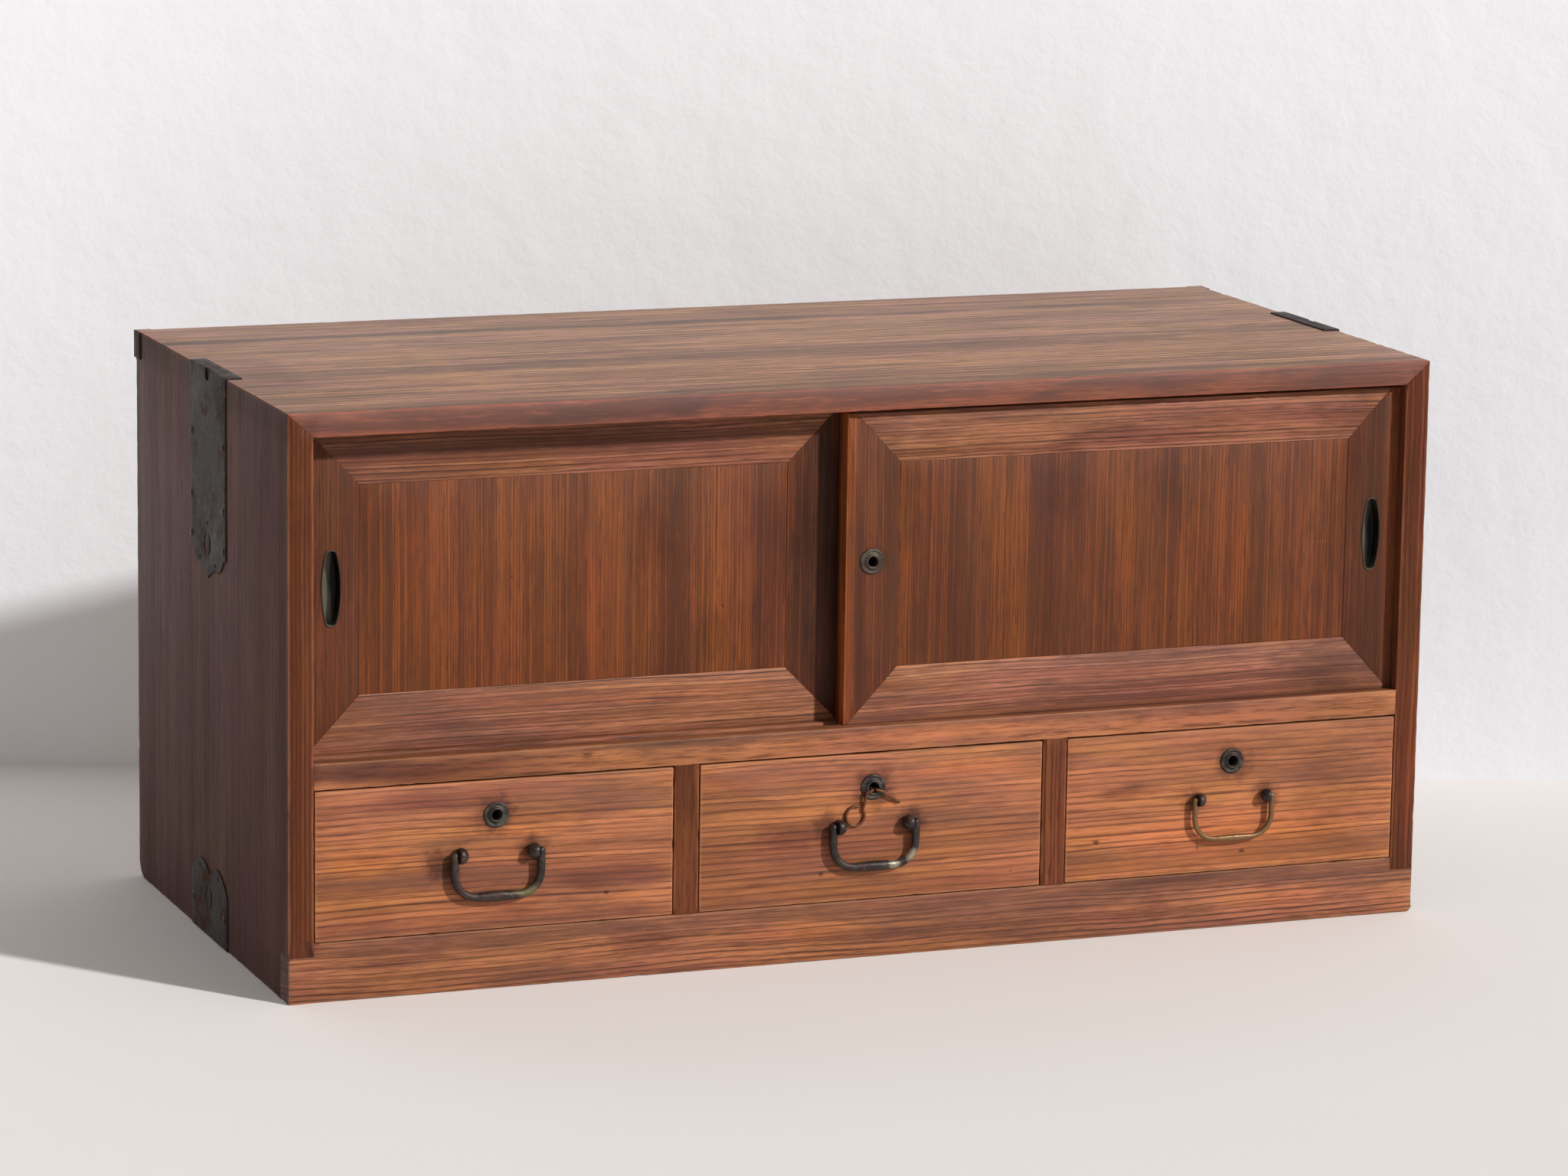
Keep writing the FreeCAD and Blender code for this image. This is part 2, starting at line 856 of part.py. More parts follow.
def drawer_bottom(x):
    """Drawer bottom, full width, let into the back of the front's lower edge."""
    x0, x1, low, end = drawer_sizes(x)
    return block(x0, x1, front + drawer_bottom_lap, end, low, low + drawer_bottom_thick)


def drawer_back(x):
    """Drawer back, housed in the sides."""
    x0, x1, low, end = drawer_sizes(x)
    inset = drawer_side_thick - drawer_housing
    y1 = end - drawer_back_inset
    return block(x0 + inset, x1 - inset, y1 - drawer_back_thick, y1,
                 low + drawer_bottom_thick, drawer_back_top)


def drawer_front(x):
    """Drawer front with laps, lock mortise, bolt slot and holes for the posts."""
    x0, x1, low, end = drawer_sizes(x)
    y_back = front + drawer_front_thick
    board = block(x0, x1, front, y_back, base_height + drawer_front_lift,
                  middle_rail_low - drawer_top_gap)
    y0, y1 = bolt_span()
    half = bolt_width / 2 + bolt_gap
    slot = block(x - half, x + half, y0 - bolt_gap, y1 + bolt_gap,
                 drawer_key_height, middle_rail_low)
    cuts = drawer_sides(x) + [drawer_bottom(x), slot]
    cuts.append(lock_box(x, lock_width, y_back, drawer_key_height))
    cuts.append(key_bore(x, front, y_back, drawer_key_height))
    for side in (-1, 1):
        post_x = x + side * post_spacing / 2
        cuts.append(post_shank(post_x))
    return board.cut(cuts)


def post_shank(post_x):
    """Square shank of a post, through the drawer front."""
    half = post_shank_half
    return block(post_x - half, post_x + half, front, front + drawer_front_thick,
                 post_height - half, post_height + half)


def post(x, outward, ball_radius):
    """Ball-headed post, flat on its outer cheek, clenched behind the drawer front."""
    post_x = x + outward * post_spacing / 2
    centre = vec(post_x, front - post_stand, post_height)
    profile = [(post_neck_radius, 0)]
    for angle in ball_ring_angles:
        turn = math.radians(angle)
        profile.append((ball_radius * math.cos(turn),
                        post_stand + ball_radius * math.sin(turn)))
    profile.append((0, post_stand + ball_radius))
    head = turned(vec(post_x, front, post_height), Y_AXIS * -1, X_AXIS, profile, ball_sides)
    y_back = front + drawer_front_thick
    half = post_clench_width / 2
    clench = block(post_x - half, post_x + half, y_back, y_back + post_clench_thick,
                   post_height - post_clench_length, post_height + post_clench_length)
    whole = joined([head, post_shank(post_x), clench])
    cheek_x = post_x + outward * ball_cheek
    far_x = cheek_x + outward * (ball_radius + overrun)
    reach = ball_radius + overrun
    off = block(min(cheek_x, far_x), max(cheek_x, far_x), centre.y - reach,
                front, post_height - reach, post_height + reach)
    tip = vec(cheek_x - outward * (pin_reach + pin_end_gap), centre.y, centre.z)
    hole = rod(pin_radius + pin_gap, vec(far_x, centre.y, centre.z), tip)
    return whole.cut([off, hole])


def bail(x, leg_radius, swell_radius, drop):
    """Drop handle: two pins, two legs, two bends and a bar that swells at the middle."""
    y = front - post_stand
    z_bar = post_height - drop + swell_radius
    leg_offset = post_spacing / 2 + ball_cheek + cheek_gap + leg_radius
    bend = bail_corner_radius
    half = []
    for height_share, radius_share in bail_head_shares:
        half.append((leg_offset, post_height + leg_radius * height_share,
                     leg_radius * radius_share))
    half.append((leg_offset, post_height, leg_radius))
    for step in range(bend_steps + 1):
        turn = math.pi / 2 * step / bend_steps
        half.append((leg_offset - bend + bend * math.cos(turn),
                     z_bar + bend - bend * math.sin(turn), leg_radius))
    for place_share, swell_share in bail_swell_shares:
        half.append(((leg_offset - bend) * (1 - place_share), z_bar,
                     leg_radius + (swell_radius - leg_radius) * swell_share))
    stations = half + [(0, z_bar, swell_radius)]
    stations += [(-offset, z, radius) for offset, z, radius in reversed(half)]
    points = [vec(x + offset, y, z) for offset, z, radius in stations]
    radii = [radius for offset, z, radius in stations]
    pieces = [forged_bar(points, radii, Y_AXIS, bail_sides)]
    for outward in (-1, 1):
        tip_x = x + outward * (post_spacing / 2 + ball_cheek - pin_reach)
        head = vec(x + outward * leg_offset, y, post_height)
        pieces.append(rod(pin_radius, vec(tip_x, y, post_height), head))
    return joined(pieces)


def wire_loop():
    """Bent wire: a ring on the drawer front, a hook in the keyhole and a short tail."""
    y_flat = front - wire_radius - wire_stand
    y_over = front - key_plate_boss - wire_radius - wire_stand
    y_in = front + wire_entry_depth
    z_hook = drawer_key_height - wire_hook_drop
    z_rim = z_hook - wire_radius
    bight = wire_bight_radius
    points = []
    for step in range(wire_ring_steps + 1):
        turn = math.radians(wire_ring_start + wire_ring_sweep * step / wire_ring_steps)
        points.append(vec(wire_ring_x + wire_ring_radius * math.cos(turn), y_flat,
                          wire_ring_height + wire_ring_radius * math.sin(turn)))
    points += [vec(-key_liner_radius, y_over, z_rim), vec(-bight, y_over, z_hook)]
    for step in range(bend_steps + 1):
        turn = math.pi * step / bend_steps
        points.append(vec(-bight * math.cos(turn), y_in + bight * math.sin(turn), z_hook))
    points += [vec(bight, y_over, z_hook), vec(key_liner_radius, y_over, z_rim),
               vec(wire_tail_x, y_flat, wire_tail_height)]
    return forged_bar(points, [wire_radius] * len(points), Y_AXIS, wire_sides)


def crescent(z, outward):
    """Curved slot through a plate, one half of a facing pair."""
    half_turn = math.radians(crescent_sweep / 2)
    inset = crescent_radius * math.cos(half_turn) - crescent_apart / 2
    centre_y = middle_y - outward * inset
    hollow = []
    back_edge = []
    for step in range(crescent_steps + 1):
        share = step / crescent_steps
        angle = half_turn * (2 * share - 1)
        reach = crescent_radius + crescent_width * math.sin(math.pi * share)
        for edge, radius in ((hollow, crescent_radius), (back_edge, reach)):
            edge.append(vec(half_width - overrun,
                            centre_y + outward * radius * math.cos(angle),
                            z + radius * math.sin(angle)))
    points = hollow + back_edge[-2:0:-1]
    return prism(points, vec(plate_thick + 2 * overrun, 0, 0))


def plate_bore(y, z):
    """Small round hole through a plate, short of the wood."""
    profile = [(plate_hole_radius, 0), (plate_hole_radius, plate_thick + overrun)]
    return turned(vec(half_width, y, z), X_AXIS, Y_AXIS, profile, plate_hole_sides)


def pole_plate():
    """Right carrying iron: a sheet with an ogee foot and a slotted flange on the top."""
    x = half_width
    half = plate_width / 2
    shoulder = half - plate_shoulder
    knee_y = plate_knee_offset
    knee_z = plate_knee_height

    def at(y, z):
        return vec(x, middle_y + y, z)

    quarter = (plate_corner_height + knee_z) / 2
    three_quarter = (knee_z + plate_tip_height) / 2
    high_via = (shoulder + knee_y) / 2
    low_via = knee_y / 2
    bulge = plate_ogee_bulge
    sheet = contour(at(-half, plate_top), [
        at(-half, plate_corner_height),
        at(-shoulder, plate_corner_height),
        (at(-high_via, quarter - bulge), at(-knee_y, knee_z)),
        (at(-low_via, three_quarter + bulge), at(0, plate_tip_height)),
        (at(low_via, three_quarter + bulge), at(knee_y, knee_z)),
        (at(high_via, quarter - bulge), at(shoulder, plate_corner_height)),
        at(half, plate_corner_height),
        at(half, plate_top),
    ]).extrude(vec(plate_thick, 0, 0))
    flange = block(x - plate_flange, x, middle_y - half, middle_y + half,
                   case_height, plate_top)
    slot = block(x - channel_depth, x, middle_y - channel_half, middle_y + channel_half,
                 case_height - overrun, plate_top + overrun)
    notch_low = plate_top - finger_notch_depth
    notch_r = finger_notch_width / 2
    notch = block(x, x + plate_thick + overrun, middle_y - notch_r, middle_y + notch_r,
                  notch_low + notch_r, plate_top + overrun)
    notch_end = rod(notch_r, vec(x, middle_y, notch_low + notch_r),
                    vec(x + plate_thick + overrun, middle_y, notch_low + notch_r))
    cuts = [slot, notch, notch_end]
    cuts += [crescent(crescent_height, side) for side in (-1, 1)]
    cuts += [plate_bore(middle_y + side * plate_hole_offset, plate_hole_height)
             for side in (-1, 1)]
    cuts.append(plate_bore(middle_y, plate_eye_height))
    return joined([sheet, flange]).cut(cuts + nail_holes())


def pole_loop():
    """Right pole loop: a bar on two legs whose turned-out feet stop it in the channel."""
    x0 = loop_outer - loop_thick
    x1 = loop_outer
    half = loop_width / 2
    bar = block(x0, x1, middle_y - half, middle_y + half, plate_top - loop_bar, plate_top)
    pieces = [bar]
    for side in (-1, 1):
        outer = middle_y + side * half
        inner = outer - side * loop_leg
        toe = outer + side * loop_foot
        pieces.append(block(x0, x1, min(inner, outer), max(inner, outer),
                            loop_low, plate_top))
        pieces.append(block(x0, x1, min(outer, toe), max(outer, toe),
                            loop_low, loop_low + loop_foot_height))
    return joined(pieces)


def foot_plate():
    """Right foot iron: a sheet with two lobes along its upper edge."""
    x = half_width
    half = plate_width / 2
    lobe = foot_plate_lobe_offset
    bulge = foot_plate_bulge

    def at(y, z):
        return vec(x, middle_y + y, z)

    outer_via = (half + lobe) / 2
    outer_z = (foot_plate_edge + foot_plate_lobe) / 2
    inner_via = lobe / 2
    inner_z = (foot_plate_lobe + foot_plate_dip) / 2
    sheet = contour(at(-half, foot_plate_lift), [
        at(half, foot_plate_lift),
        at(half, foot_plate_edge),
        (at(outer_via, outer_z + bulge), at(lobe, foot_plate_lobe)),
        (at(inner_via, inner_z + bulge), at(0, foot_plate_dip)),
        (at(-inner_via, inner_z + bulge), at(-lobe, foot_plate_lobe)),
        (at(-outer_via, outer_z + bulge), at(-half, foot_plate_edge)),
    ]).extrude(vec(plate_thick, 0, 0))
    cuts = [crescent(foot_crescent_height, side) for side in (-1, 1)]
    cuts += [plate_bore(middle_y + side * lobe, foot_hole_height) for side in (-1, 1)]
    return sheet.cut(cuts + nail_holes())


def corner_iron():
    """Right rear corner iron, folded round the corner of side and back."""
    x0 = half_width - corner_return
    x1 = half_width + corner_thick
    y0 = back - corner_reach
    y1 = back + corner_thick
    z0 = case_height - corner_drop
    side_leaf = block(half_width, x1, y0, y1, z0, case_height)
    back_leaf = block(x0, x1, back, y1, z0, case_height)
    return joined([side_leaf, back_leaf])


def nails():
    """Dome-headed nails of the right side, each driven through its iron."""
    dome = [
        (nail_head_radius, 0),
        (nail_head_radius * nail_dome_share, nail_head_height * nail_dome_share),
        (0, nail_head_height),
    ]
    made = []
    for y, z in nail_places():
        seat = vec(half_width + plate_thick, y, z)
        head = turned(seat, X_AXIS, Y_AXIS, dome, nail_sides)
        shank = block(half_width - nail_length, seat.x, y - nail_half, y + nail_half,
                      z - nail_half, z + nail_half)
        made.append(joined([head, shank]))
    return made


def make_case():
    """Boards of the case, its irons and nails."""
    side = right_side()
    save("right_side", side)
    save("left_side", mirrored(side).cut(patch()))
    save("foot_patch", patch())
    save("top_board", top_board())
    save("bottom_board", bottom_board())
    save("base_rail", base_rail())
    save("rear_rail", rear_rail())
    save("middle_rail", middle_rail())
    save("shelf_board", shelf_board())
    save("right_divider", divider())
    save("left_divider", mirrored(divider()))
    save("back_boards", back_boards())
    save("right_pole_plate", pole_plate())
    save("left_pole_plate", mirrored(pole_plate()))
    save("right_foot_plate", foot_plate())
    save("left_foot_plate", mirrored(foot_plate()))
    save("right_pole_loop", pole_loop())
    save("left_pole_loop", mirrored(pole_loop()))
    save("corner_irons", on_both_sides(corner_iron()))
    driven = nails()
    save("side_nails", Part.makeCompound(driven + [mirrored(nail) for nail in driven]))


def make_front_door():
    """Right door, which runs in front."""
    left = inner_half - door_side_gap - door_width
    right = inner_half - door_side_gap
    panel_left = left + stile_width
    panel_right = right - stile_width
    face = front_door_face
    stiles, rails = door_frame(face, panel_left, panel_right, left, right, left, right)
    pull_x = right - stile_width / 2
    key_x = left + stile_width / 2
    y_back = face + door_thick
    bore = key_bore(key_x, face, y_back, door_key_height)
    lock = lock_box(key_x, door_lock_width, y_back, door_key_height)
    stiles = [stiles[0].cut([bore, lock]), stiles[1].cut(pull_cup(pull_x, face))]
    save("front_door_stiles", Part.makeCompound(stiles))
    save("front_door_rails", Part.makeCompound(rails))
    save("front_door_panel", door_panel(face, panel_left, panel_right))
    save("front_door_pull", pull(pull_x, face))
    save("front_door_key_plate", key_plate(key_x, face, door_key_height))
    save("front_door_lock", lock_case(key_x, door_lock_width, y_back,
                                      door_key_height, False))
    return key_x


def make_rear_door(key_x):
    """Left door, which runs behind and has the wide stile under the overlap."""
    left = -inner_half + door_side_gap
    right = left + door_width
    panel_left = left + stile_width
    panel_right = right - lap_stile_width
    mitre_right = panel_right + door_rail_width
    face = rear_door_face
    stiles, rails = door_frame(face, panel_left, panel_right, left, mitre_right,
                               left, right)
    pull_x = left + stile_width / 2
    strike = block(key_x - strike_width / 2, key_x + strike_width / 2, face,
                   face + strike_depth, door_key_height - strike_height / 2,
                   door_key_height + strike_height / 2)
    stiles = [stiles[0].cut(pull_cup(pull_x, face)), stiles[1].cut(strike)]
    save("rear_door_stiles", Part.makeCompound(stiles))
    save("rear_door_rails", Part.makeCompound(rails))
    save("rear_door_panel", door_panel(face, panel_left, panel_right))
    save("rear_door_pull", pull(pull_x, face))


def make_drawer(name, x, ball_radius, leg_radius, swell_radius, drop):
    """One drawer with its lock, posts and bail."""
    save(name + "_drawer_front", drawer_front(x))
    back_piece = drawer_back(x)
    sides = [side.cut(back_piece) for side in drawer_sides(x)]
    save(name + "_drawer_sides", Part.makeCompound(sides))
    save(name + "_drawer_back", back_piece)
    save(name + "_drawer_bottom", drawer_bottom(x))
    save(name + "_key_plate", key_plate(x, front, drawer_key_height))
    save(name + "_lock_case", lock_case(x, lock_width, front + drawer_front_thick,
                                        drawer_key_height, True))
    save(name + "_lock_bolt", lock_bolt(x))
    save(name + "_posts", Part.makeCompound([post(x, side, ball_radius)
                                             for side in (-1, 1)]))
    save(name + "_bail", bail(x, leg_radius, swell_radius, drop))


def main():
    """Write every piece."""
    os.makedirs("parts", exist_ok=True)
    make_case()
    make_rear_door(make_front_door())
    make_drawer("left", bay_centres[0], heavy_ball_radius, heavy_leg_radius,
                heavy_swell_radius, left_bail_drop)
    make_drawer("middle", bay_centres[1], heavy_ball_radius, heavy_leg_radius,
                heavy_swell_radius, middle_bail_drop)
    make_drawer("right", bay_centres[2], light_ball_radius, light_leg_radius,
                light_swell_radius, right_bail_drop)
    save("wire_loop", wire_loop())


main()
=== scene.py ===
"""Low cabinet with sliding doors and three drawers, dressed over its packed frame.

Lengths are in metres, X runs to the right, -Y is the front and Z is up.
"""

import json
import math
import random

import bmesh
import bpy
from bpy.props import FloatProperty, FloatVectorProperty, PointerProperty
from mathutils import Matrix, Vector, noise
from mathutils.bvhtree import BVHTree
from mathutils.kdtree import KDTree


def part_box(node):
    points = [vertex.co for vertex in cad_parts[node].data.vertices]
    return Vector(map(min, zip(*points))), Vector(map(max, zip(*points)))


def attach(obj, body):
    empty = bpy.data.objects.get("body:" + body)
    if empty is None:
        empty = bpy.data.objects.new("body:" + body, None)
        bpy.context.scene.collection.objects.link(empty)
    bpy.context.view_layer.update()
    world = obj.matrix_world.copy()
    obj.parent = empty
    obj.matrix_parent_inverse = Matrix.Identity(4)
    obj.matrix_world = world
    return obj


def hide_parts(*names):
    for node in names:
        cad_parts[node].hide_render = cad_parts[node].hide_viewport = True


bl_info = {
    "name": "Low Cabinet",
    "version": (1, 0, 0),
    "blender": (4, 5, 0),
    "location": "3D View > Sidebar > Cabinet",
    "description": "Boards, sliding doors, drawers and forged ironwork of a low cabinet",
    "category": "Object",
}

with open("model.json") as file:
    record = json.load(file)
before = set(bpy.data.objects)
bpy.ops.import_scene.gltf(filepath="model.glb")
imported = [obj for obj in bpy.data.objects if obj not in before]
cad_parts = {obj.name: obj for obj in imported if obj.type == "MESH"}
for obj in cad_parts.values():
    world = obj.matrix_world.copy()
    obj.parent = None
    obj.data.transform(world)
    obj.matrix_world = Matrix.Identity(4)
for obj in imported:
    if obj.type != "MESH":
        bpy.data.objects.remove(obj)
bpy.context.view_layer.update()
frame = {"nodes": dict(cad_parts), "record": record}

NODES = frame["nodes"]
BODY_OF = {node: body for body, nodes in frame["record"]["behaviour"]["bodies"].items()
           for node in nodes}
AXES = {"X": Vector((1, 0, 0)), "Y": Vector((0, 1, 0)), "Z": Vector((0, 0, 1))}
MM = 0.001


def paint(red, green, blue):
    """Linear colour of a screen colour given from 0 to 255."""
    def linear(level):
        level /= 255
        return level / 12.92 if level <= 0.04045 else ((level + 0.055) / 1.055) ** 2.4
    return tuple(linear(level) for level in (red, green, blue))


def tint(label, told, rgb):
    """Colour property."""
    return FloatVectorProperty(name=label, description=told, subtype="COLOR", size=3,
                               min=0.0, max=1.0, default=paint(*rgb))


def length(label, told, size):
    """Length property."""
    return FloatProperty(name=label, description=told, subtype="DISTANCE", unit="LENGTH",
                         min=0.0, precision=5, default=size)


def share(label, told, size):
    """Property from 0 to 1."""
    return FloatProperty(name=label, description=told, subtype="FACTOR", min=0.0, max=1.0,
                         default=size)


def amount(label, told, size):
    """Property from 0 upward."""
    return FloatProperty(name=label, description=told, min=0.0, default=size)


def tilt(label, told, degrees):
    """Angle property."""
    return FloatProperty(name=label, description=told, subtype="ANGLE", unit="ROTATION",
                         default=math.radians(degrees))


WOOD_FIELDS = (
    ("pale", tint, "Pale wood", "Early wood in the light bands"),
    ("middle", tint, "Middle wood", "Most of the wood"),
    ("deep", tint, "Deep wood", "Darker fibres and bands"),
    ("line", tint, "Grain line", "Late wood at the end of each ring"),
    ("dirt", tint, "Dirt", "Old dirt and darkened lacquer"),
    ("worn", tint, "Worn wood", "Bare wood along the arrises"),
    ("ring", length, "Ring width", "Distance from one grain line to the next"),
    ("wander", length, "Wander", "How far the grain lines stray"),
    ("across", length, "Pith to the side", "Distance of the tree's middle beside the board"),
    ("depth", length, "Pith behind", "Distance of the tree's middle behind the board"),
    ("lines", share, "Line strength", "How strongly the grain lines show"),
    ("fibres", share, "Fibre strength", "How strongly the fine fibres show"),
    ("dirty", share, "Dirt share", "How much dirt lies on the wood"),
    ("rubbed", share, "Wear share", "How far the arrises are rubbed bare"),
    ("rough", share, "Roughness", "Roughness of the clean surface"),
    ("gloss", share, "Gloss", "Strength of the surface's mirror reflection"),
)
# One value for each row of WOOD_FIELDS, in the same order.
WOODS = {
    "drawer": (
        (188, 119, 79), (154, 95, 65), (128, 75, 53),
        (81, 43, 30), (97, 63, 53), (195, 141, 101),
        0.0046, 0.0022, 0.16, 0.05, 1.0, 0.8, 0.5, 0.35, 0.5, 0.25),
    "rail": (
        (181, 116, 84), (138, 84, 59), (107, 62, 44),
        (52, 26, 18), (83, 53, 45), (187, 133, 96),
        0.0036, 0.0022, 0.12, 0.02, 1.0, 0.9, 0.55, 0.35, 0.5, 0.25),
    "panel": (
        (134, 72, 35), (103, 54, 29), (83, 43, 25), (62, 31, 19), (67, 40, 28), (144, 88, 54),
        0.0023, 0.0011, 0.3, 0.06, 0.75, 0.8, 0.4, 0.2, 0.45, 0.22),
    "door_rail": (
        (178, 117, 90), (135, 81, 59), (109, 64, 47),
        (55, 29, 20), (90, 57, 49), (178, 121, 90),
        0.003, 0.0015, 0.14, 0.02, 1.0, 0.9, 0.6, 0.3, 0.45, 0.25),
    "door_stile": (
        (113, 61, 33), (89, 46, 27), (72, 37, 22), (57, 28, 17), (63, 38, 26), (134, 80, 48),
        0.0021, 0.001, 0.2, 0.03, 0.75, 0.8, 0.4, 0.3, 0.45, 0.22),
    "case": (
        (122, 71, 49), (107, 60, 41), (87, 46, 33), (65, 36, 26), (68, 45, 35), (181, 112, 76),
        0.0034, 0.0014, 0.22, 0.04, 1.0, 1.0, 0.35, 0.35, 0.48, 0.06),
    "top": (
        (187, 135, 105), (153, 109, 84), (101, 70, 57),
        (60, 40, 31), (80, 59, 49), (200, 137, 96),
        0.0085, 0.004, 0.12, 0.03, 1.0, 1.0, 0.4, 0.35, 0.56, 0.75),
    "inner": (
        (190, 152, 112), (168, 130, 94), (146, 110, 78),
        (122, 86, 60), (120, 95, 76), (196, 160, 122),
        0.0052, 0.003, 0.1, 0.03, 0.7, 0.6, 0.5, 0.3, 0.7, 0.4),
}
WOOD_WORDS = {"drawer": "drawer fronts", "rail": "rails and dividers", "panel": "door panels",
              "door_rail": "door rails", "door_stile": "door stiles", "case": "case sides",
              "top": "top board", "inner": "unfinished inner boards"}


def wood_settings(key):
    """Property group of one wood, with that wood's own defaults."""
    fields = {name: maker(label, told, value)
              for (name, maker, label, told), value in zip(WOOD_FIELDS, WOODS[key])}
    return type("CABINET_PG_" + key, (bpy.types.PropertyGroup,),
                {"__annotations__": fields, "__doc__": "Wood of the " + WOOD_WORDS[key]})


WOOD_GROUPS = {key: wood_settings(key) for key in WOODS}


class CABINET_PG_iron(bpy.types.PropertyGroup):
    """Forged ironwork."""
    iron: tint("Iron", "Dark scale on the iron", (47, 39, 38))
    bare: tint("Rubbed iron", "Iron rubbed by hands", (86, 74, 65))
    plate: tint("Side plate", "Brown film on the side irons", (47, 40, 39))
    worn: tint("Worn handle", "Yellow-brown of the right handle", (126, 94, 60))
    crust: tint("Crust", "Grey-green crust", (94, 95, 80))
    pull: tint("Finger pull", "Grey-green film on the pulls", (92, 88, 76))
    rust: tint("Rust", "Brown rust", (84, 46, 30))
    wire: tint("Wire", "Orange rust of the bent wire", (108, 62, 36))


class CABINET_PG_arris(bpy.types.PropertyGroup):
    """Worn arrises of the boards and irons."""
    case: length("Case arris", "Width of a free arris on the case", 0.0011)
    front: length("Door and drawer arris", "Width of a free arris on doors and drawers", 0.0008)
    seam: length("Seam", "Width of an arris where two boards meet flush", 0.00022)
    iron: length("Iron arris", "Width of an arris on sheet iron", 0.0004)
    step: length("Step", "Length of arris between two worn places", 0.006)
    nick: share("Nicks", "How uneven the arrises are", 0.6)


class CABINET_PG_handle(bpy.types.PropertyGroup):
    """Drop handles and their ball-headed posts."""
    heavy_ball: length("Heavy ball", "Radius of the left and middle posts' balls", 0.006)
    light_ball: length("Light ball", "Radius of the right posts' balls", 0.0052)
    heavy_leg: length("Heavy leg", "Radius of the left and middle bails' legs", 0.0029)
    light_leg: length("Light leg", "Radius of the right bail's legs", 0.002)
    neck: length("Neck", "Radius of a post's neck", 0.003)
    bend: length("Bend", "Radius of a bail's lower bends", 0.017)


class CABINET_PG_stage(bpy.types.PropertyGroup):
    """Floor, backdrop, lamps and camera."""
    floor: tint("Floor", "Pale floor", (242, 237, 233))
    wall: tint("Wall", "Pale wall behind", (243, 243, 246))
    sky: amount("Fill light", "Strength of the light from all sides", 0.33)
    lamp: amount("Main light", "Strength of the main light", 3.2)
    lamp_size: tilt("Main light's width",
                    "Width of the main light as seen from the cabinet", 3.0)
    azimuth: tilt("Camera azimuth", "Turn of the camera's sight line to the right", 21.270)
    elevation: tilt("Camera elevation", "How steeply the camera looks down", 11.076)
    roll: tilt("Camera roll", "Tilt of the camera about its sight line", 0.862)
    place: FloatVectorProperty(name="Camera place", description="Where the camera stands",
                               subtype="TRANSLATION", size=3,
                               default=(-1.6148, -4.1612, 1.1184))
    lens: amount("Lens", "Focal length in millimetres", 134.58)


def cabinet_settings():
    """Property group that holds all the others."""
    groups = {key: (WOOD_WORDS[key].capitalize(), "Wood of the " + WOOD_WORDS[key], group)
              for key, group in WOOD_GROUPS.items()}
    groups["iron"] = ("Iron", "Forged ironwork", CABINET_PG_iron)
    groups["arris"] = ("Arrises", "Worn arrises", CABINET_PG_arris)
    groups["handle"] = ("Handles", "Posts and bails", CABINET_PG_handle)
    groups["stage"] = ("Stage", "Floor, lamps and camera", CABINET_PG_stage)
    fields = {key: PointerProperty(name=label, description=told, type=group)
              for key, (label, told, group) in groups.items()}
    return type("CABINET_PG_all", (bpy.types.PropertyGroup,),
                {"__annotations__": fields, "__doc__": "Settings of the cabinet."})


CABINET_PG_all = cabinet_settings()


def settings(key):
    """One group of the cabinet's settings."""
    return getattr(bpy.context.scene.low_cabinet, key)


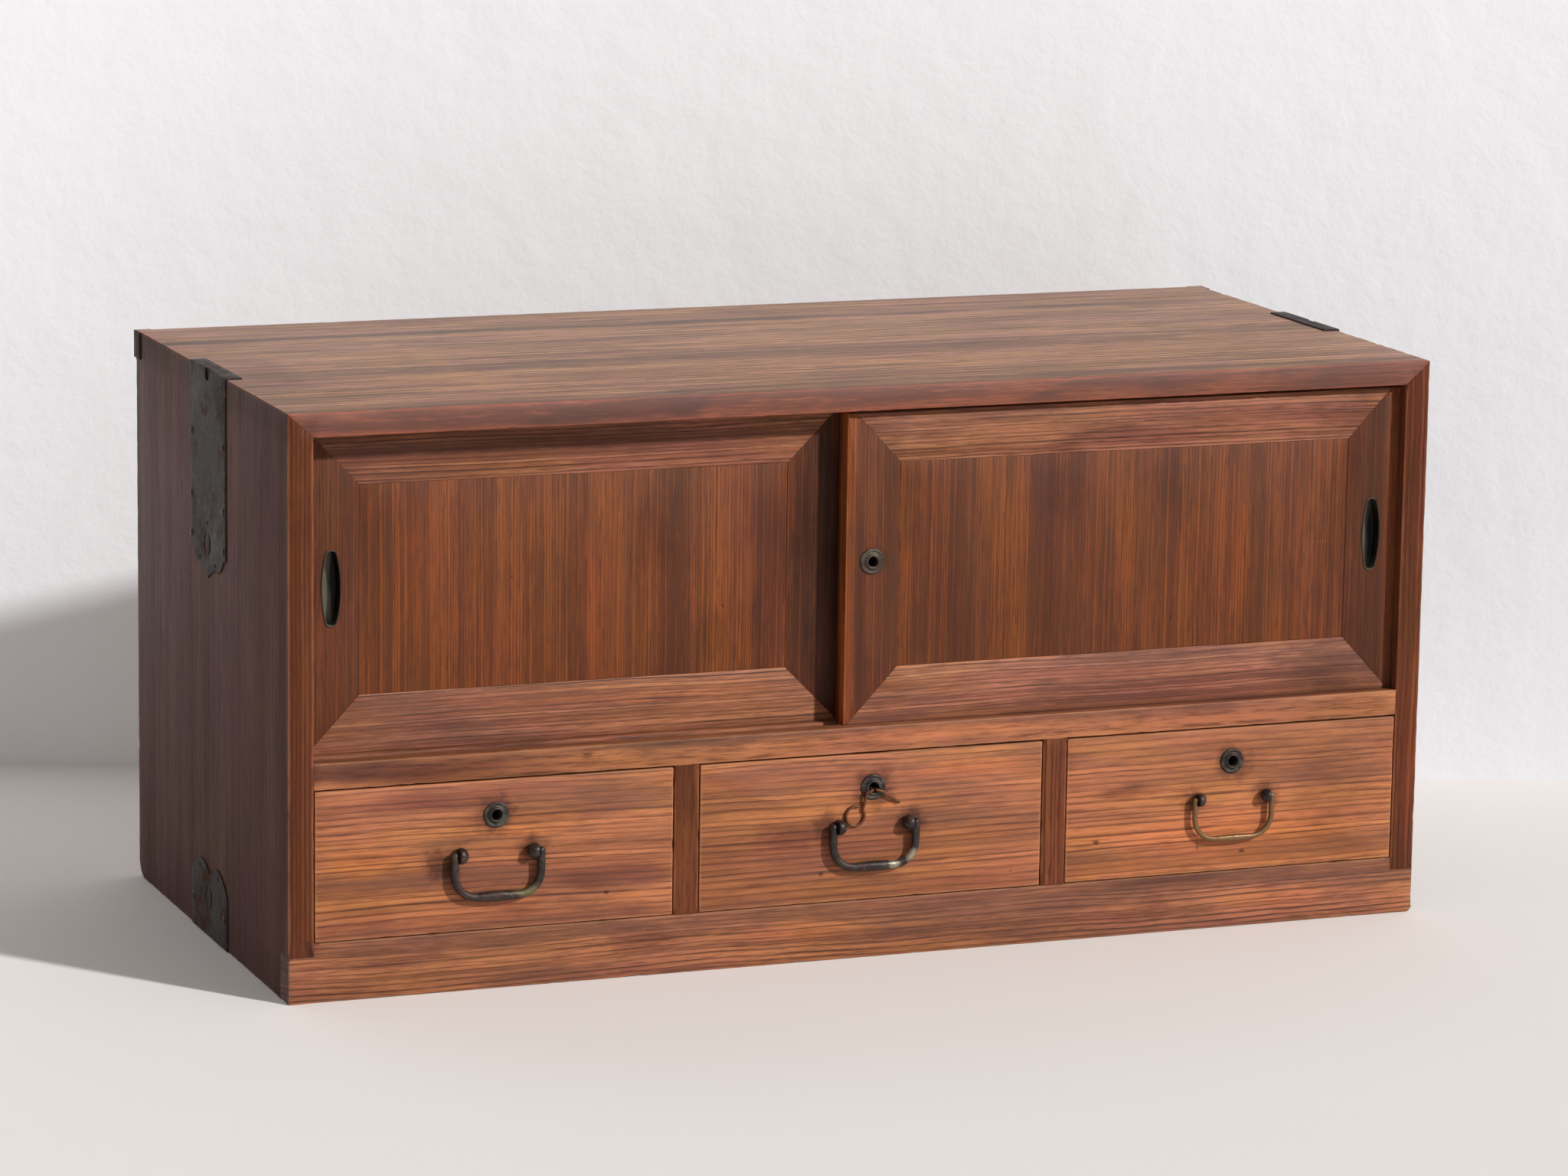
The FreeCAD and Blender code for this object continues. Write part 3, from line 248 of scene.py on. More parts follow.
class Bench:
    """Lays nodes in one tree; most calls add a node and give back its output."""

    def __init__(self, tree):
        self.tree = tree
        self.laid = 0

    def add(self, kind, **choices):
        """New node, set out in rows; its kind is told without "ShaderNode"."""
        node = self.tree.nodes.new("ShaderNode" + kind)
        node.location = (self.laid % 9 * 200, self.laid // 9 * -300)
        self.laid += 1
        for name, choice in choices.items():
            setattr(node, name, choice)
        return node

    def feed(self, socket, value):
        """Links another node's output to a socket, or sets the socket's own value."""
        if isinstance(value, bpy.types.NodeSocket):
            self.tree.links.new(value, socket)
        elif socket.type == "RGBA" and not isinstance(value, (int, float)):
            socket.default_value = (*value, 1.0)
        else:
            socket.default_value = value

    def fill(self, node, **values):
        """Feeds inputs by name, with _ for a space, and gives back the node's outputs.

        A kind of node stands for a new node of that kind."""
        if isinstance(node, str):
            node = self.add(node)
        for label, value in values.items():
            self.feed(node.inputs[label.replace("_", " ")], value)
        return node.outputs

    def lay(self, kind, *values, **choices):
        """Outputs of a new node whose inputs are fed in their order."""
        node = self.add(kind, **choices)
        for socket, value in zip(node.inputs, values):
            self.feed(socket, value)
        return node.outputs

    def sum(self, operation, *values):
        """Result of a Math node."""
        return self.lay("Math", *values, operation=operation)[0]

    def times(self, first, second):
        """Product of two numbers."""
        return self.sum("MULTIPLY", first, second)

    def plus(self, first, second):
        """Sum of two numbers."""
        return self.sum("ADD", first, second)

    def both(self, first, share_of_first, second, share_of_second):
        """Sum of two numbers, each times its share."""
        return self.plus(self.times(first, share_of_first),
                         self.times(second, share_of_second))

    def turn(self, operation, *values):
        """Result of a Vector Math node."""
        given = self.lay("VectorMath", *values, operation=operation)
        return given["Value" if operation == "LENGTH" else "Vector"]

    def parts(self, vector):
        """X, Y and Z of a vector."""
        return self.lay("SeparateXYZ", vector)

    def rise(self, value, low, high, first=0.0, last=1.0):
        """Smooth step from one value to another as the input goes from low to high."""
        return self.lay("MapRange", value, low, high, first, last,
                        interpolation_type="SMOOTHSTEP")[0]

    def mix(self, amount_of_second, first, second, how="MIX"):
        """Mixed colour."""
        node = self.add("Mix", data_type="RGBA", blend_type=how)
        for index, value in ((0, amount_of_second), (6, first), (7, second)):
            self.feed(node.inputs[index], value)
        return node.outputs[2]

    def noise(self, place, along, across, detail=2.0, rough=0.5):
        """Noise with so many waves in a metre along X, and across it."""
        stretched = self.turn("MULTIPLY", place, (along, across, across))
        return self.fill("TexNoise", Vector=stretched, Scale=1.0, Detail=detail,
                         Roughness=rough)["Fac"]

    def group(self, name, **values):
        """Outputs of a node of a finished group; the values go to its inputs by name."""
        return self.fill(self.add("Group", node_tree=GROUP_MAKERS[name]()), **values)

    def bump(self, height, distance, strength):
        """Normal bent by a height that is given from 0 to 1."""
        return self.fill("Bump", Height=height, Distance=distance, Strength=strength)["Normal"]

    def either(self, amount_of_second, first, second):
        """Surface mixed from two surfaces."""
        return self.lay("MixShader", amount_of_second, first, second)[0]


def open_group(name, takes, gives):
    """New group: its bench, its inputs and its output node.

    The sockets are told in words, such as "Vector Grain, Float Ring Depth"."""
    tree = bpy.data.node_groups.new(name, "ShaderNodeTree")
    for way, told in (("INPUT", takes), ("OUTPUT", gives)):
        for words in filter(None, told.split(", ")):
            kind, *labels = words.split()
            for label in labels:
                tree.interface.new_socket(label, in_out=way, socket_type="NodeSocket" + kind)
    first, last = (tree.nodes.new("NodeGroup" + way) for way in ("Input", "Output"))
    last.location = (1800, 0)
    first.location = (-200, 0)
    return Bench(tree), first.outputs, last


def made_once(maker):
    """Gives back the group that the maker built before, if there is one."""
    name = maker.__name__

    def fetch():
        found = bpy.data.node_groups.get(name)
        return found if found else maker(name)
    return fetch


def board_place(name):
    """Place along the grain and the way to the board's nearest arris."""
    bench, _, out = open_group(name, "", "Vector Grain, Float Edge Tone Free")
    grain, low, high, tone, free = (
        bench.add("Attribute", attribute_name=label).outputs
        for label in ("grain", "from_low", "from_high", "tone", "free"))
    a, b, c = bench.parts(bench.turn("MINIMUM", low["Vector"], high["Vector"]))
    near = bench.sum("MINIMUM", a, b)
    far = bench.sum("MAXIMUM", a, b)
    bench.fill(out, Grain=grain["Vector"], Tone=tone["Fac"], Free=free["Fac"],
               Edge=bench.sum("MAXIMUM", near, bench.sum("MINIMUM", far, c)))
    return bench.tree


def growth_rings(name):
    """Rings of a tree cut lengthwise: dark late-wood lines, fine fibres and broad bands."""
    bench, takes, out = open_group(name, "Vector Grain, Float Ring Wander Across Depth",
                                   "Float Line Fibre Band Hue")
    grain = takes["Grain"]
    wander = takes["Wander"]
    _, across, depth = bench.parts(grain)
    slow = bench.sum("SUBTRACT", bench.noise(grain, 3.4, 8), 0.5)
    quick = bench.sum("SUBTRACT", bench.noise(grain, 11, 42, 1.0), 0.5)
    across = bench.plus(bench.plus(across, takes["Across"]),
                        bench.times(slow, bench.times(wander, 6.0)))
    depth = bench.plus(depth, takes["Depth"])
    reach = bench.sum("SQRT", bench.plus(bench.times(across, across),
                                         bench.times(depth, depth)))
    turns = bench.sum("DIVIDE", bench.plus(reach, bench.times(quick, wander)), takes["Ring"])
    drift = bench.fill(bench.add("TexNoise", noise_dimensions="1D"),
                       W=bench.times(turns, 0.23), Scale=1.0, Detail=1.0)["Fac"]
    turns = bench.plus(turns, bench.times(drift, 2.0))
    part = bench.sum("FRACT", turns)
    chance = bench.fill(bench.add("TexWhiteNoise", noise_dimensions="1D"),
                        W=bench.sum("FLOOR", turns))["Value"]
    power = bench.rise(chance, 0.0, 1.0, 0.5, 1.0)
    fade = bench.rise(bench.noise(grain, 13, 100, 3.0, 0.6), 0.34, 0.6, 0.45, 1.0)
    line = bench.times(bench.rise(part, 0.5, 0.9), bench.rise(part, 0.93, 1.0, 1.0, 0.0))
    threads = bench.noise(grain, 7, 430, 4.0, 0.7)
    pores = bench.noise(grain, 55, 640, 2.0, 0.6)
    long = bench.noise(grain, 0.9, 30, 4.0, 0.55)
    short = bench.noise(grain, 9, 44, 3.0, 0.6)
    lone = bench.times(bench.sum("SUBTRACT", chance, 0.5), 0.16)
    bench.fill(out, Line=bench.times(line, bench.times(power, fade)),
               Fibre=bench.both(threads, 0.55, pores, 0.45),
               Band=bench.plus(bench.both(long, 0.75, short, 0.25), lone),
               Hue=bench.noise(bench.turn("ADD", grain, (2.3, 0.6, 1.9)), 8, 30, 4.0, 0.6))
    return bench.tree


def wood_colour(name):
    """Colour and height of bare wood from its lines, fibres and bands."""
    bench, takes, out = open_group(
        name, "Float Line Fibre Band Hue Tone, Color Pale Middle Deep Late, Float Lines Fibres",
        "Color Color, Float Height")
    line, fibre, band, hue, tone, pale, mid, deep, late, lines, fibres, *_ = takes
    colour = bench.mix(bench.rise(band, 0.44, 0.62), mid, pale)
    dark = bench.times(bench.rise(band, 0.47, 0.34), 0.8)
    streak = bench.times(bench.rise(fibre, 0.46, 0.66), fibres)
    colour = bench.mix(bench.sum("MAXIMUM", dark, streak), colour, deep)
    glow = bench.times(bench.rise(fibre, 0.5, 0.36), fibres)
    colour = bench.mix(bench.times(glow, 0.5), colour, pale)
    colour = bench.mix(bench.times(line, lines), colour, late)
    hue = bench.mix(bench.rise(hue, 0.36, 0.62), (1.0, 0.93, 0.95), (1.0, 1.0, 0.76))
    colour = bench.mix(1.0, colour, hue, "MULTIPLY")
    scaled = bench.fill(bench.add("VectorMath", operation="SCALE"), Vector=colour,
                        Scale=bench.plus(1.0, bench.times(tone, 0.12)))[0]
    bench.fill(out, Color=scaled, Height=bench.both(line, 0.5, fibre, 0.5))
    return bench.tree


def old_dirt(name):
    """Mask of old dirt: clouds drawn out along the grain, and small knocks."""
    bench, takes, out = open_group(name, "Vector Grain, Float Share", "Float Mask Knock")
    grain = takes["Grain"]
    cloud = bench.noise(grain, 6, 30, 7.0, 0.7)
    smear = bench.noise(bench.turn("ADD", grain, (3.1, 1.7, 0.4)), 3, 72, 6.0, 0.7)
    dirty = bench.rise(bench.both(cloud, 0.55, smear, 0.45), 0.46, 0.6)
    cell = bench.fill("TexVoronoi", Scale=1.0,
                      Vector=bench.turn("MULTIPLY", grain, (34, 60, 60)))
    size, rare, _ = bench.parts(cell["Color"])
    reach = bench.times(size, 0.11)
    spot = bench.rise(cell["Distance"], reach, bench.times(reach, 0.4))
    bench.fill(out, Mask=bench.times(dirty, takes["Share"]),
               Knock=bench.times(spot, bench.rise(rare, 0.8, 0.9)))
    return bench.tree


def edge_wear(name):
    """Mask of a rubbed strip along the arrises, uneven in width."""
    bench, takes, out = open_group(name, "Float Edge Free, Vector Grain, Float Width",
                                   "Float Mask")
    rough = bench.noise(takes["Grain"], 28, 160, 5.0, 0.65)
    reach = bench.times(takes["Width"], bench.rise(rough, 0.3, 0.8, 0.5, 1.3))
    strip = bench.rise(takes["Edge"], reach, bench.times(reach, 0.1))
    bench.fill(out, Mask=bench.times(strip, bench.rise(takes["Free"], 0.5, 0.9)))
    return bench.tree


def stain(name):
    """Mask of a soft-edged stain round a centre."""
    bench, takes, out = open_group(name, "Vector Place Centre Size", "Float Mask")
    place, centre, size, *_ = takes
    way = bench.turn("DIVIDE", bench.turn("SUBTRACT", place, centre), size)
    shift = bench.turn("MULTIPLY", centre, (40, 40, 40))
    rough = bench.noise(bench.turn("ADD", way, shift), 1.6, 1.6, 4.0, 0.6)
    reach = bench.plus(bench.turn("LENGTH", way),
                       bench.times(bench.sum("SUBTRACT", rough, 0.5), 1.4))
    bench.fill(out, Mask=bench.rise(reach, 1.0, 0.25))
    return bench.tree


def forged_surface(name):
    """Scale, rust and crust on forged iron, with its hammered height."""
    bench, takes, out = open_group(
        name, "Vector Place, Color Iron Bare Crust Rust, Float Crusted Rusted",
        "Color Color, Float Roughness Metallic Height")
    place = takes["Place"]
    hammer = bench.noise(place, 210, 210)
    pits = bench.noise(place, 1100, 1100, 3.0, 0.6)
    cloud = bench.noise(place, 95, 95, 4.0, 0.6)
    patch = bench.noise(bench.turn("ADD", place, (0.7, 0.2, 0.5)), 60, 60, 4.0, 0.6)
    crust = bench.rise(bench.plus(cloud, bench.times(pits, 0.35)), 0.6, 0.82)
    crust = bench.times(crust, takes["Crusted"])
    rust = bench.times(bench.rise(patch, 0.48, 0.66), takes["Rusted"])
    colour = bench.mix(bench.rise(hammer, 0.5, 0.75, 0.0, 0.6), takes["Iron"], takes["Bare"])
    colour = bench.mix(rust, colour, takes["Rust"])
    dull = bench.sum("MAXIMUM", crust, rust)
    rough = bench.plus(dull, bench.times(pits, 0.4))
    bench.fill(out, Color=bench.mix(crust, colour, takes["Crust"]),
               Roughness=bench.rise(rough, 0.0, 1.2, 0.38, 0.85),
               Metallic=bench.rise(dull, 0.1, 0.7, 0.6, 0.1),
               Height=bench.both(hammer, 0.6, pits, 0.25))
    return bench.tree


GROUP_MAKERS = {maker.__name__: made_once(maker) for maker in (
    board_place, growth_rings, wood_colour, old_dirt, edge_wear, stain, forged_surface)}


def open_material(name):
    """New material with a bench and its Principled node."""
    material = bpy.data.materials.new(name)
    material.use_nodes = True
    material.node_tree.nodes.clear()
    bench = Bench(material.node_tree)
    shader = bench.add("BsdfPrincipled")
    bench.fill("OutputMaterial", Surface=shader.outputs[0])
    return material, bench, shader


def stained(bench, colour, marks, how):
    """Colour with marks laid over it: (middle, half sizes, colour, strength)."""
    place = bench.add("TexCoord").outputs["Object"] if marks else None
    for centre, size, shade, strength in marks:
        mask = bench.group("stain", Place=place, Centre=centre, Size=size)["Mask"]
        colour = bench.mix(bench.times(mask, strength), colour, shade, how)
    return colour


# How much of each colour a stain lets through. Two stand for light: the strongest lightening is
# a painted highlight, and the blue-grey one is grime with a painted sheen.
SHADES = {"plum": (0.62, 0.52, 0.58), "soot": (0.38, 0.33, 0.36), "gold": (1.28, 1.16, 0.95),
          "brown": (0.78, 0.76, 0.7), "knot": (0.3, 0.26, 0.3), "bright": (2.0, 1.85, 1.5),
          "grime": (0.82, 1.27, 2.34), "dull": (0.78, 0.39, 0.3), "end": (0.4, 0.5, 0.8),
          "light": (1.5, 1.6, 1.7), "yellow": (1.12, 1.12, 0.9)}
# Each stain's shade, strength, x, z, half width and half height in millimetres. Where
# a y and the half size that way follow, they stand in for those of STAIN_DEPTH.
STAIN_DEPTH = (-200, 90)
STAINS = {
    "drawer_left": (
        ("plum", 0.8, -353, 143, 84, 11), ("soot", 1.0, -338, 96, 19, 18),
        ("gold", 0.9, -395, 101, 50, 16), ("gold", 0.8, -284, 117, 58, 6),
        ("plum", 0.75, -208, 78, 74, 14), ("plum", 0.65, -256, 128, 110, 8),
        ("knot", 1.0, -211, 66, 3.2, 2.2), ("plum", 0.7, -280, 61, 26, 5),
        ("soot", 1.0, -297, 131, 21, 20), ("soot", 0.9, -268, 104, 17, 15),
        ("brown", 0.7, -400, 64, 36, 18)),
    "drawer_middle": (
        ("plum", 0.8, -66, 97, 44, 14), ("knot", 0.9, -41, 67, 3.2, 2.4),
        ("plum", 0.55, -91, 62, 14, 3), ("gold", 0.9, 76, 142, 72, 9),
        ("gold", 1.0, 31, 117.5, 46, 2.6), ("soot", 1.0, 0, 131, 23, 21),
        ("soot", 0.9, -38, 103, 19, 16), ("soot", 0.9, 32, 103, 16, 16),
        ("plum", 0.45, -110, 142, 36, 7)),
    "drawer_right": (
        ("brown", 1.0, 388, 110, 62, 62), ("brown", 0.7, 295, 136, 170, 20),
        ("plum", 0.8, 209, 112, 34, 8), ("knot", 1.0, 184, 75, 4, 2.2),
        ("knot", 1.0, 307, 59.5, 3.6, 2), ("soot", 0.9, 265, 102, 13, 13),
        ("soot", 0.9, 296.5, 131, 20, 19), ("soot", 0.8, 328, 103, 15, 13),
        ("gold", 0.7, 297, 76, 150, 26), ("knot", 0.5, 269, 66, 2, 6)),
    "rail": (
        ("plum", 1.0, -360, 168, 130, 12), ("brown", 0.9, -280, 168, 190, 24),
        ("knot", 0.8, -227, 171, 6, 3), ("gold", 0.6, 20, 170, 150, 8),
        ("soot", 0.4, -350, 168, 150, 14), ("gold", 0.3, 260, 166, 80, 8),
        ("brown", 0.8, 310, 168, 170, 16), ("plum", 0.5, 400, 170, 40, 9),
        ("plum", 0.75, -185, 28, 36, 14), ("plum", 0.7, 227, 41, 85, 5),
        ("plum", 0.6, 234, 23, 16, 13), ("plum", 0.5, -380, 30, 60, 14),
        ("gold", 0.7, -60, 24, 80, 12), ("gold", 0.6, 340, 22, 70, 12),
        # Darker, bluer ends of the base rail at the case sides: grime and a painted sheen, as
        # on the sides.
        ("end", 1.0, -454.5, 24, 1.6, 900, -200, 900),
        ("end", 1.0, 454.5, 24, 1.6, 900, -200, 900)),
    "door_rail": (
        ("plum", 0.75, 151, 378, 34, 10, -200, 150),
        ("plum", 0.55, 210, 188, 200, 14, -200, 150), ("soot", 0.7, 385, 200, 75, 34, -200, 20),
        ("plum", 0.9, 340, 396, 130, 22, -200, 20), ("plum", 1.0, 222, 386, 96, 13, -200, 20),
        ("brown", 0.7, 210, 392, 230, 30, -200, 20), ("soot", 0.5, 400, 390, 50, 30, -200, 20),
        # Painted shade: the rear door's top rail is darker under the shadow of the top board.
        ("plum", 0.65, -220, 396, 190, 12, -180, 150),
        ("gold", 0.7, -200, 208, 170, 10, -180, 150),
        ("plum", 0.6, -150, 204, 26, 7, -180, 150), ("plum", 0.5, -330, 196, 30, 8, -180, 150)),
    "panel": (
        # The second mark here darkens the right end of the rear door's panel, where the front
        # door's shadow falls.
        ("plum", 0.6, -165, 330, 26, 44, -180, 60), ("plum", 0.7, -66, 280, 44, 110, -180, 60),
        ("soot", 0.35, -120, 250, 18, 30, -180, 60), ("gold", 0.6, -350, 300, 26, 80, -180, 60),
        ("gold", 0.5, -215, 300, 14, 90, -180, 60), ("plum", 0.55, 150, 350, 34, 30, -200, 60),
        ("brown", 0.8, 245, 345, 30, 34, -200, 60), ("plum", 0.6, 390, 290, 34, 110, -200, 60),
        ("gold", 0.5, 300, 300, 14, 80, -200, 60), ("light", 0.5, 372, 296, 14, 1.2, -200, 60)),
    "door_stile": (
        # The first mark darkens the rear door's right stile, where the front door's shadow
        # falls.
        ("soot", 1.0, -18, 300, 48, 220, -173, 12),
        # Painted light: a painted highlight down the front door's left arris, and a lighter
        # strip on its right stile that lifts the case side's shadow.
        ("bright", 1.0, -20, 300, 14, 900, -194, 34),
        ("bright", 0.9, 432, 300, 10, 400, -193, 24), ("soot", 0.5, 1, 301, 16, 16, -200, 24),
        ("soot", 0.4, -430, 300, 16, 40, -180, 24), ("light", 0.7, -40, 326, 9, 1.2, -180, 24)),
    "case": (
        # Greyer, bluer outer faces of the case sides: grime and a painted sheen.
        ("grime", 1.0, -455, 220, 1.8, 9000, 0, 9000),
        ("grime", 1.0, 455, 220, 1.8, 9000, 0, 9000), ("brown", 1.0, -455, 424, 6, 16, 0, 9000),
        ("gold", 0.8, 446, 120, 12, 90, -200, 60)),
    "case_patch": (
        # Grime and a painted sheen on the outer face of the foot patch.
        ("grime", 1.0, -455, 20, 1.8, 9000, 0, 9000),),
    "top": (
        ("dull", 1.0, 0, 425, 9000, 9000, -203, 2.2),
        ("yellow", 1.0, -280, 434, 16, 9, -30, 120), ("soot", 0.5, -148, 434, 20, 9, -184, 14),
        ("plum", 0.6, -420, 434, 40, 9, -20, 90), ("plum", 0.4, -250, 434, 200, 9, 190, 26)),
}


def stains(key):
    """Marks of one piece or wood, in metres."""
    marks = []
    for shade, strength, x, z, wide, high, *deep in STAINS.get(key, ()):
        y, thick = deep or STAIN_DEPTH
        marks.append(([size * MM for size in (x, y, z)],
                      [size * MM for size in (wide, thick, high)], SHADES[shade], strength))
    return marks


def wood(key, wear_width=0.0025, label=""):
    """Material of one wood; a label gives it stains of its own."""
    name = "old_" + key + "_wood" + label
    found = bpy.data.materials.get(name)
    if found:
        return found
    own = settings(key)
    material, bench, shader = open_material(name)
    board_at = bench.group("board_place")
    grain = board_at["Grain"]
    rings = bench.group("growth_rings", Grain=grain, Ring=own.ring, Wander=own.wander,
                        Across=own.across, Depth=own.depth)
    bare = bench.group("wood_colour", Line=rings["Line"], Fibre=rings["Fibre"],
                       Band=rings["Band"], Hue=rings["Hue"], Tone=board_at["Tone"],
                       Pale=own.pale, Middle=own.middle, Deep=own.deep, Late=own.line,
                       Lines=own.lines, Fibres=own.fibres)
    dirt = bench.group("old_dirt", Grain=grain, Share=own.dirty)
    wear = bench.group("edge_wear", Edge=board_at["Edge"], Free=board_at["Free"],
                       Grain=grain, Width=wear_width)
    rubbed = bench.times(wear["Mask"], own.rubbed)
    colour = bench.mix(dirt["Mask"], bare["Color"], own.dirt)
    colour = bench.mix(bench.times(dirt["Knock"], 0.75), colour, own.line)
    colour = bench.mix(rubbed, colour, own.worn)
    rough = own.rough
    for mask, extra in ((dirt["Mask"], 0.16), (rubbed, 0.12), (rings["Fibre"], 0.1)):
        rough = bench.plus(rough, bench.times(mask, extra))
    height = bench.sum("SUBTRACT", bare["Height"], bench.times(dirt["Knock"], 0.8))
    bench.fill(shader, Base_Color=stained(bench, colour, stains(key + label), "MULTIPLY"),
               Roughness=rough, Specular_IOR_Level=own.gloss,
               Normal=bench.bump(height, 0.0005, 0.55))
    return material


def iron(name, crusted=0.5, rusted=0.4, base="iron", marks=(), shine=1.0):
    """Material of forged iron; marks are (middle, half sizes, colour, strength)."""
    found = bpy.data.materials.get(name)
    if found:
        return found
    own = settings("iron")
    material, bench, shader = open_material(name)
    place = bench.add("TexCoord").outputs["Object"]
    surface = bench.group("forged_surface", Place=place, Iron=getattr(own, base),
                          Bare=own.bare, Crust=own.crust, Rust=own.rust, Crusted=crusted,
                          Rusted=rusted)
    bench.fill(shader, Base_Color=stained(bench, surface["Color"], marks, "MIX"),
               Roughness=surface["Roughness"],
               Metallic=bench.times(surface["Metallic"], shine),
               Specular_IOR_Level=0.5 * shine,
               Normal=bench.bump(surface["Height"], 0.0006, 0.6))
    return material


def solids_of(node):
    """Each closed solid of a node as its own mesh, sorted from left to right.

    A solid is complete once each of its edges has met its twin."""
    if node not in NODES:
        raise RuntimeError("the frame has no node " + node)
    mesh = NODES[node].data
    found = []
    verts = {}
    single = set()
    for polygon in mesh.polygons:
        if not verts:
            part = bmesh.new()
            found.append(part)
        loop = []
        for index in polygon.vertices:
            place = mesh.vertices[index].co
            key = tuple(round(size, 6) for size in place)
            if key not in verts:
                verts[key] = part.verts.new(place)
            loop.append(key)
        part.faces.new([verts[key] for key in loop])
        for first, second in zip(loop, loop[1:] + loop[:1]):
            single ^= {(min(first, second), max(first, second))}
        if not single:
            verts = {}
    for part in found:
        bmesh.ops.recalc_face_normals(part, faces=part.faces)
        part.normal_update()
    return sorted(found, key=lambda part: tuple(round(size, 4) for size in middle(part)))


def extent(places):
    """Lowest and highest corner of the box round some places."""
    return (Vector([min(place[i] for place in places) for i in range(3)]),
            Vector([max(place[i] for place in places) for i in range(3)]))


def corners(part):
    """Lowest and highest corner of a mesh being edited."""
    return extent([vert.co for vert in part.verts])


def middle(part):
    """Middle of a mesh's box."""
    low, high = corners(part)
    return (low + high) / 2


SOLIDS = []


def all_solids():
    """Every solid of the frame: its node, number, box and search tree."""
    if not SOLIDS:
        for node in sorted(NODES):
            for number, part in enumerate(solids_of(node)):
                low, high = corners(part)
                SOLIDS.append((node, number, low, high, BVHTree.FromBMesh(part)))
                part.free()
    return SOLIDS


LOOK_WAY = Vector((0.36, 0.48, 0.8))


def buried(point, neighbours):
    """True if a point lies inside one of the neighbouring solids."""
    for low, high, tree in neighbours:
        if all(low[i] <= point[i] <= high[i] for i in range(3)):
            hits = 0
            start = point
            while True:
                place = tree.ray_cast(start, LOOK_WAY)[0]
                if place is None:
                    break
                hits += 1
                start = place + LOOK_WAY * 1e-6
            if hits % 2:
                return True
    return False


# Sizes of the search for arrises that other boards hide, in metres.
NEIGHBOUR_GAP = 0.002
SHORTEST_EDGE = 0.0022
PROBE_OUT = 0.0011
PROBE_ASIDE = 0.0006
# Width from which an arris counts as free, and the calm stretch next to a corner.
FREE_WIDTH = 0.0004
CORNER_CALM = 0.003


def ease(part, node, number, free_width, seam_width, step):
    """Splits the outer arrises into short runs and gives each run its width."""
    low, high = corners(part)
    neighbours = [
        (other_low, other_high, tree)
        for name, index, other_low, other_high, tree in all_solids()
        if (name, index) != (node, number)
        and all(other_low[i] < high[i] + NEIGHBOUR_GAP
                and other_high[i] > low[i] - NEIGHBOUR_GAP for i in range(3))]
    bmesh.ops.dissolve_limit(part, angle_limit=math.radians(0.6), verts=part.verts,
                             edges=part.edges, delimit=set())
    weight = part.edges.layers.float.new("bevel_weight_edge")
    sharp = [edge for edge in part.edges
             if len(edge.link_faces) == 2 and edge.calc_face_angle_signed() > 0.3]
    runs = []
    for edge, size in [(edge, edge.calc_length()) for edge in sharp]:
        pieces = max(1, math.ceil(size / step))
        normals = [face.normal.copy() for face in edge.link_faces]
        rest = edge
        start = edge.verts[0]
        for left in range(pieces, 1, -1):
            rest, cut = cut_off(rest, start, 1 / left)
            runs.append((cut, normals, size))
            start = next(vert for vert in cut.verts if vert in rest.verts)
        runs.append((rest, normals, size))
    eased = []
    for edge, normals, size in runs:
        spot = (edge.verts[0].co + edge.verts[1].co) / 2
        out = (normals[0] + normals[1]).normalized() * PROBE_OUT
        if size < SHORTEST_EDGE or buried(spot + out, neighbours):
            continue
        over = [spot + (normals[1 - i] - normals[i]) * PROBE_ASIDE for i in (0, 1)]
        shut = sum(buried(place, neighbours) for place in over)
        width = min((free_width, seam_width, 0.0)[shut], size * 0.3)
        if width:
            edge[weight] = width / MM
            eased.append((edge.verts[0].co.copy(), edge.verts[1].co.copy(), width))
    return eased


def cut_off(edge, start, share_of):
    """Cuts a share off an edge at one end: the rest and the piece cut off."""
    _, vert = bmesh.utils.edge_split(edge, start, share_of)
    near = next(link for link in vert.link_edges if start in link.verts)
    far = next(link for link in vert.link_edges if start not in link.verts)
    return far, near


def add_object(name, data):
    """New object in the scene."""
    thing = bpy.data.objects.new(name, data)
    bpy.context.scene.collection.objects.link(thing)
    return thing


def show(name, part):
    """New object in the scene, made from a finished mesh."""
    mesh = bpy.data.meshes.new(name)
    part.to_mesh(mesh)
    part.free()
    return add_object(name, mesh)


def bevelled(part):
    """The mesh with its arrises cut back by the widths that its edges hold."""
    rough = show("rough", part)
    bevel = rough.modifiers.new("Arris", "BEVEL")
    bevel.limit_method = "WEIGHT"
    bevel.width = MM
    bevel.segments = 2
    bevel.use_clamp_overlap = False
    shaped = bmesh.new()
    shaped.from_object(rough, bpy.context.evaluated_depsgraph_get())
    mesh = rough.data
    bpy.data.objects.remove(rough)
    bpy.data.meshes.remove(mesh)
    return shaped


def point_tree(places):
    """Search tree of some places."""
    tree = KDTree(max(1, len(places)))
    for index, place in enumerate(places):
        tree.insert(place, index)
    tree.balance()
    return tree


